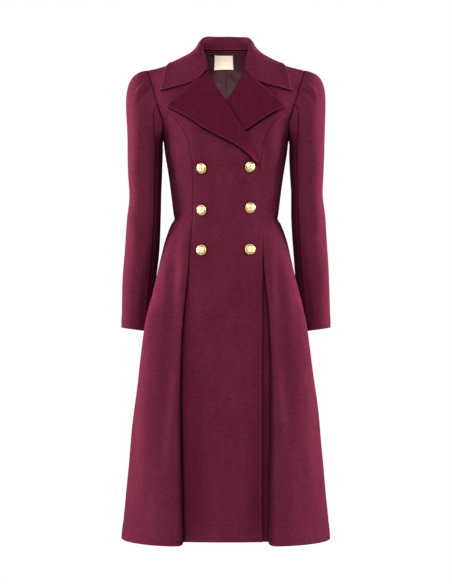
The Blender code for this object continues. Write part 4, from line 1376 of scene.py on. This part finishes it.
def finish(name):
    """A new material with its shader and node tree."""
    material = bpy.data.materials.new(name)
    material.use_nodes = True
    tree = material.node_tree
    shader = tree.nodes["Principled BSDF"]
    roughness, metallic, specular = row_of(FINISHES, name)
    fill(tree, shader, {"Roughness": roughness, "Metallic": metallic, "Specular IOR Level": specular})
    return material, tree, shader


def grain(tree, name):
    """Noise in the piece's own coordinates, drawn out along one or more axes."""
    scale, stretch, detail = row_of(GRAINS, name)
    place = add(tree, "TexCoord", {})
    mapping = add(tree, "Mapping", {"Vector": place.outputs["Object"], "Scale": stretch})
    sizes = {"Scale": scale, "Detail": detail, "Roughness": GRAIN_ROUGHNESS}
    noise = add(tree, "TexNoise", {"Vector": mapping.outputs["Vector"], **sizes})
    return noise.outputs["Fac"]


def ramp(tree, value, stops):
    made = add(tree, "ValToRGB", {"Fac": value})
    while len(made.color_ramp.elements) < len(stops):
        made.color_ramp.elements.new(0.5)
    for element, (place, colour) in zip(made.color_ramp.elements, stops):
        element.position = place
        element.color = linear_colour(colour)
    return made.outputs["Color"]


def mixed(tree, first, second, share):
    """Mean of two values, weighted."""
    return add(tree, "Mix", {"Factor": share, "A": first, "B": second}, data_type="FLOAT").outputs["Result"]


def multiplied(tree, first, second):
    """Product of two colours."""
    inputs = {"Factor": 1.0, "A": first, "B": second}
    return add(tree, "Mix", inputs, data_type="RGBA", blend_type="MULTIPLY").outputs["Result"]


def bumped(tree, shader, value, strength, distance):
    bump = add(tree, "Bump", {"Strength": strength, "Distance": distance * MM, "Height": value})
    fill(tree, shader, {"Normal": bump.outputs["Normal"]})


def shaded_in_hollows(tree, colour, reach, least, tone):
    """Painted shade: the colour darkened by ambient occlusion where other cloth lies close over it."""
    hollow = add(tree, "AmbientOcclusion", {"Distance": reach * MM}, samples=HOLLOW_SAMPLES)
    return multiplied(tree, colour, ramp(tree, hollow.outputs["AO"], ((least, tone), (HOLLOW_CLEAR, WHITE))))


def mark(tree, name):
    """A value that was stored on the mesh."""
    return add(tree, "Attribute", {}, attribute_name=name).outputs["Fac"]


def wool_material(name, dark, light):
    material, tree, shader = finish(name)
    nap, weft, mottle = (grain(tree, part) for part in ("nap", "weft", "mottle"))
    both = mixed(tree, mixed(tree, nap, weft, 0.5), mottle, 0.2)
    colour = ramp(tree, both, ((0.36, dark), (0.66, light)))
    # Painted shade: the wool darker along its seams
    colour = multiplied(tree, colour, ramp(tree, mark(tree, "seam"), ((0.0, WHITE), (1.0, SEAM_SHADE_TONE))))
    # Painted highlight: a lighter tone along the stitched free edges
    shine = ramp(tree, nap, ((0.3, light), (0.7, RIM_HIGHLIGHT_TONE)))
    highlighted = add(tree, "Mix", {"Factor": mark(tree, "rim"), "A": colour, "B": shine}, data_type="RGBA")
    colour = highlighted.outputs["Result"]
    # Painted shade in hollows, over a short and a wide reach
    for reach, least, tone in HOLLOW_SHADE["rows"]:
        colour = shaded_in_hollows(tree, colour, reach, least, tone)
    sheen = {"Sheen Weight": SHEEN_WEIGHT, "Sheen Roughness": SHEEN_ROUGHNESS, "Sheen Tint": SHEEN_TINT}
    fill(tree, shader, {"Base Color": colour, **sheen})
    bumped(tree, shader, both, 0.45, 0.5)
    return material


def thread_material():
    material, tree, shader = finish("wool_thread")
    fill(tree, shader, {"Base Color": ramp(tree, grain(tree, "twist"), ((0.3, WOOL_DARK), (0.7, THREAD)))})
    return material


def satin_material():
    material, tree, shader = finish("lining_satin")
    weave = grain(tree, "satin_weave")
    both = mixed(tree, weave, grain(tree, "satin_cloud"), 0.5)
    fill(tree, shader, {"Base Color": ramp(tree, both, ((0.3, SATIN_DARK), (0.7, SATIN_LIGHT)))})
    bumped(tree, shader, weave, 0.2, 0.2)
    return material


def label_material():
    material, tree, shader = finish("woven_label")
    place = add(tree, "TexCoord", {}).outputs["Object"]
    inputs = {"Scale": LABEL_WEAVE_SCALE, "Distortion": LABEL_WEAVE_DISTORTION, "Vector": place}
    waves = [add(tree, "TexWave", inputs, bands_direction=way).outputs["Fac"] for way in ("X", "Z")]
    weave = mixed(tree, *waves, 0.5)
    both = mixed(tree, weave, grain(tree, "label_cloud"), 0.4)
    fill(tree, shader, {"Base Color": ramp(tree, both, ((0.25, LABEL_DARK), (0.65, LABEL_LIGHT)))})
    bumped(tree, shader, weave, 0.25, 0.2)
    return material


def gold_material():
    material, tree, shader = finish("button_gold")
    # Darker in the button's grooves and lighter on its raised rope, petals and boss, with fine noise;
    # smoother where it stands higher
    depths = {"From Min": -GROOVE_DEPTH, "From Max": PETAL_HEIGHT, "Value": mark(tree, "relief")}
    relief_and_grain = mixed(tree, add(tree, "MapRange", depths).outputs["Result"], grain(tree, "rubbing"), 0.2)
    shine = add(tree, "MapRange", {"To Min": GOLD_ROUGH, "To Max": GOLD_SMOOTH, "Value": relief_and_grain})
    colour = ramp(tree, relief_and_grain, ((0.2, GOLD_DARK), (0.6, GOLD_LIGHT)))
    fill(tree, shader, {"Base Color": colour, "Roughness": shine.outputs["Result"]})
    return material


def floor_material():
    material, tree, shader = finish("studio_floor")
    tone = ramp(tree, grain(tree, "floor"), ((0.2, FLOOR_DARK), (0.8, FLOOR_LIGHT)))
    fill(tree, shader, {"Base Color": tone, "Emission Color": tone, "Emission Strength": FLOOR_GLOW})
    return material


def held_still(kind, points):
    """0 along the seams that hold a piece, rising to 1 away from them."""
    away = distances(points)
    free = np.ones(points.shape[:2])
    for border, edge in BORDERS[kind].items():
        if edge == "seam":
            free = free * (1 - bell(away[border], 0.0, HELD_REACH))
    return free


def dressed(kind, name, cloth, phase):
    """A cloth grid with its edges, creases and slow waves, moved along its normals."""
    points, normal = cloth
    height = edge_height(kind, points, normal, name == COVERED_LAPEL)
    height = height + crease_height(kind, name, points, normal)
    height = height + wave_height(points, phase) * held_still(kind, points)
    return points + height[..., None] * normal, normal


def studio():
    scene = bpy.context.scene
    lens = bpy.data.cameras.new("camera")
    lens.lens = CAMERA_LENS
    camera = bpy.data.objects.new("camera", lens)
    camera.location = (0.0, -CAMERA_DISTANCE, CAMERA_HEIGHT)
    camera.rotation_euler = (math.pi / 2, 0.0, 0.0)
    scene.collection.objects.link(camera)
    scene.camera = camera
    for name, x, y, z, width, height, aim, spread_angle, power in LAMPS["rows"]:
        light = bpy.data.lights.new(name, "AREA")
        light.shape = "RECTANGLE"
        light.size = width
        light.size_y = height
        light.energy = power
        light.spread = math.radians(spread_angle)
        lamp = bpy.data.objects.new(name, light)
        lamp.location = (x, y, z)
        level = math.atan2(aim - z, math.hypot(x, y))
        lamp.rotation_euler = (math.pi / 2 + level, 0.0, math.atan2(x, -y))
        scene.collection.objects.link(lamp)
    world = bpy.data.worlds.new("studio")
    world.use_nodes = True
    tree = world.node_tree
    light = tree.nodes["Background"]
    fill(tree, light, {"Color": SKY_TONE, "Strength": SKY_LIGHT})
    seen = add(tree, "Background", {"Color": (1.0, 1.0, 1.0, 1.0)})
    path = add(tree, "LightPath", {})
    choice = add(tree, "MixShader", {"Fac": path.outputs["Is Camera Ray"]})
    tree.links.new(light.outputs["Background"], choice.inputs[1])
    tree.links.new(seen.outputs["Background"], choice.inputs[2])
    fill(tree, tree.nodes["World Output"], {"Surface": choice.outputs["Shader"]})
    scene.world = world
    scene.view_settings.view_transform = "Standard"
    turns = np.linspace(0, 2 * np.pi, FLOOR_SIDES, endpoint=False)
    rim = FLOOR_RADIUS * np.stack((np.cos(turns), np.sin(turns)), axis=-1)
    verts = np.concatenate((rim, np.full((FLOOR_SIDES, 1), FLOOR_HEIGHT)), axis=1)
    floor = place_object("floor", verts, [tuple(range(FLOOR_SIDES))], floor_material())


def declare(made, node, extra=()):
    """Attaches a cloth piece and its extra parts to the root body, and hides the solid of its node."""
    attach(made, "root")
    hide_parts(node)
    for piece in extra:
        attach(piece, "root")


def dress_side(side, name, wool, turned, thread):
    """Panels, sleeve and lapel of one side, with their stitching."""
    is_under = side > 0
    (front, side_front, side_back, back), normal = panels(is_under)
    upper_sleeve, under_sleeve = sleeve_pieces(front, side_front, side_back, back)
    cloth = {
        "front": (front, normal[0]),
        "side_front": (side_front, normal[1]),
        "side_back": (side_back, normal[2]),
        "back": (back, normal[3]),
        "upper_sleeve": upper_sleeve,
        "under_sleeve": under_sleeve,
        "lapel": lapel_piece(is_under),
    }
    for kind, grid in cloth.items():
        node = kind + "_" + name
        points, lean = on_side(dressed(kind, node, grid, WAVE_PHASE * side), side)
        free = [border for border in SIDES if BORDERS[kind].get(border) != "seam"]
        # The lapels take the darker copy of the wool, which is painted shade
        material = turned if kind == "lapel" else wool
        made = shell(node + "_cloth", points, lean, WALL, material, free, edge_shade_and_highlight(kind, points))
        soften(made, CLOTH_ROUNDING)
        extra = []
        if kind == "lapel":
            lines = [line_inside(points, lean, border, STITCH_INSET) for border in ("right", "top")]
            extra.append(stitches(node + "_stitches", lines, thread))
        if kind == "front" and not is_under:
            line, up = line_inside(points, lean, "left", FRONT_STITCH_INSET)
            low = -line[:, 2] > FRONT_STITCH_FROM
            extra.append(stitches(node + "_stitches", [(line[low], up[low])], thread))
        declare(made, node, extra)
    return back, normal[3]


def dress_coat():
    wool = wool_material("brushed_wool", WOOL_DARK, WOOL_LIGHT)
    # Darker copy of the wool for the lapels: painted shade
    turned = wool_material("brushed_wool_lapel_shade", LAPEL_SHADE_DARK, LAPEL_SHADE_LIGHT)
    thread = thread_material()
    satin, weave, gold = satin_material(), label_material(), gold_material()
    for side, name in ((-1, "right"), (1, "left")):
        back, back_normal = dress_side(side, name, wool, turned, thread)

    points, lean = dressed("collar", "collar", collar_piece(), 0.0)
    made = shell("collar_cloth", points, lean, WALL, wool, SIDES, edge_shade_and_highlight("collar", points))
    soften(made, CLOTH_ROUNDING)
    lines = [line_inside(points, lean, border, STITCH_INSET) for border in ("bottom", "left", "right")]
    declare(made, "collar", [stitches("collar_stitches", lines, thread)])

    points, lean = dressed("back_lining", "back_lining", back_lining(back, back_normal), 0.0)
    lining = shell("back_lining_cloth", points, lean, LINING_WALL, satin)
    points, lean = on_lining(LOOP_X, LOOP_DROP, *LOOP_GRID)
    loop = shell("hanger_loop_cloth", points, lean, LABEL_WALL, satin)
    soften(loop, TAPE_ROUNDING)
    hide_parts("hanger_loop")
    declare(lining, "back_lining", [loop])
    points, lean = on_lining(LABEL_X, LABEL_DROP, *LABEL_GRID)
    made = shell("label_cloth", points, lean, LABEL_WALL, weave)
    soften(made, TAPE_ROUNDING)
    declare(made, "label")

    for name, *place in BUTTONS["rows"]:
        made = button(name, *place, gold)
        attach(made, "root")
        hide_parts(name)


dress_coat()
studio()
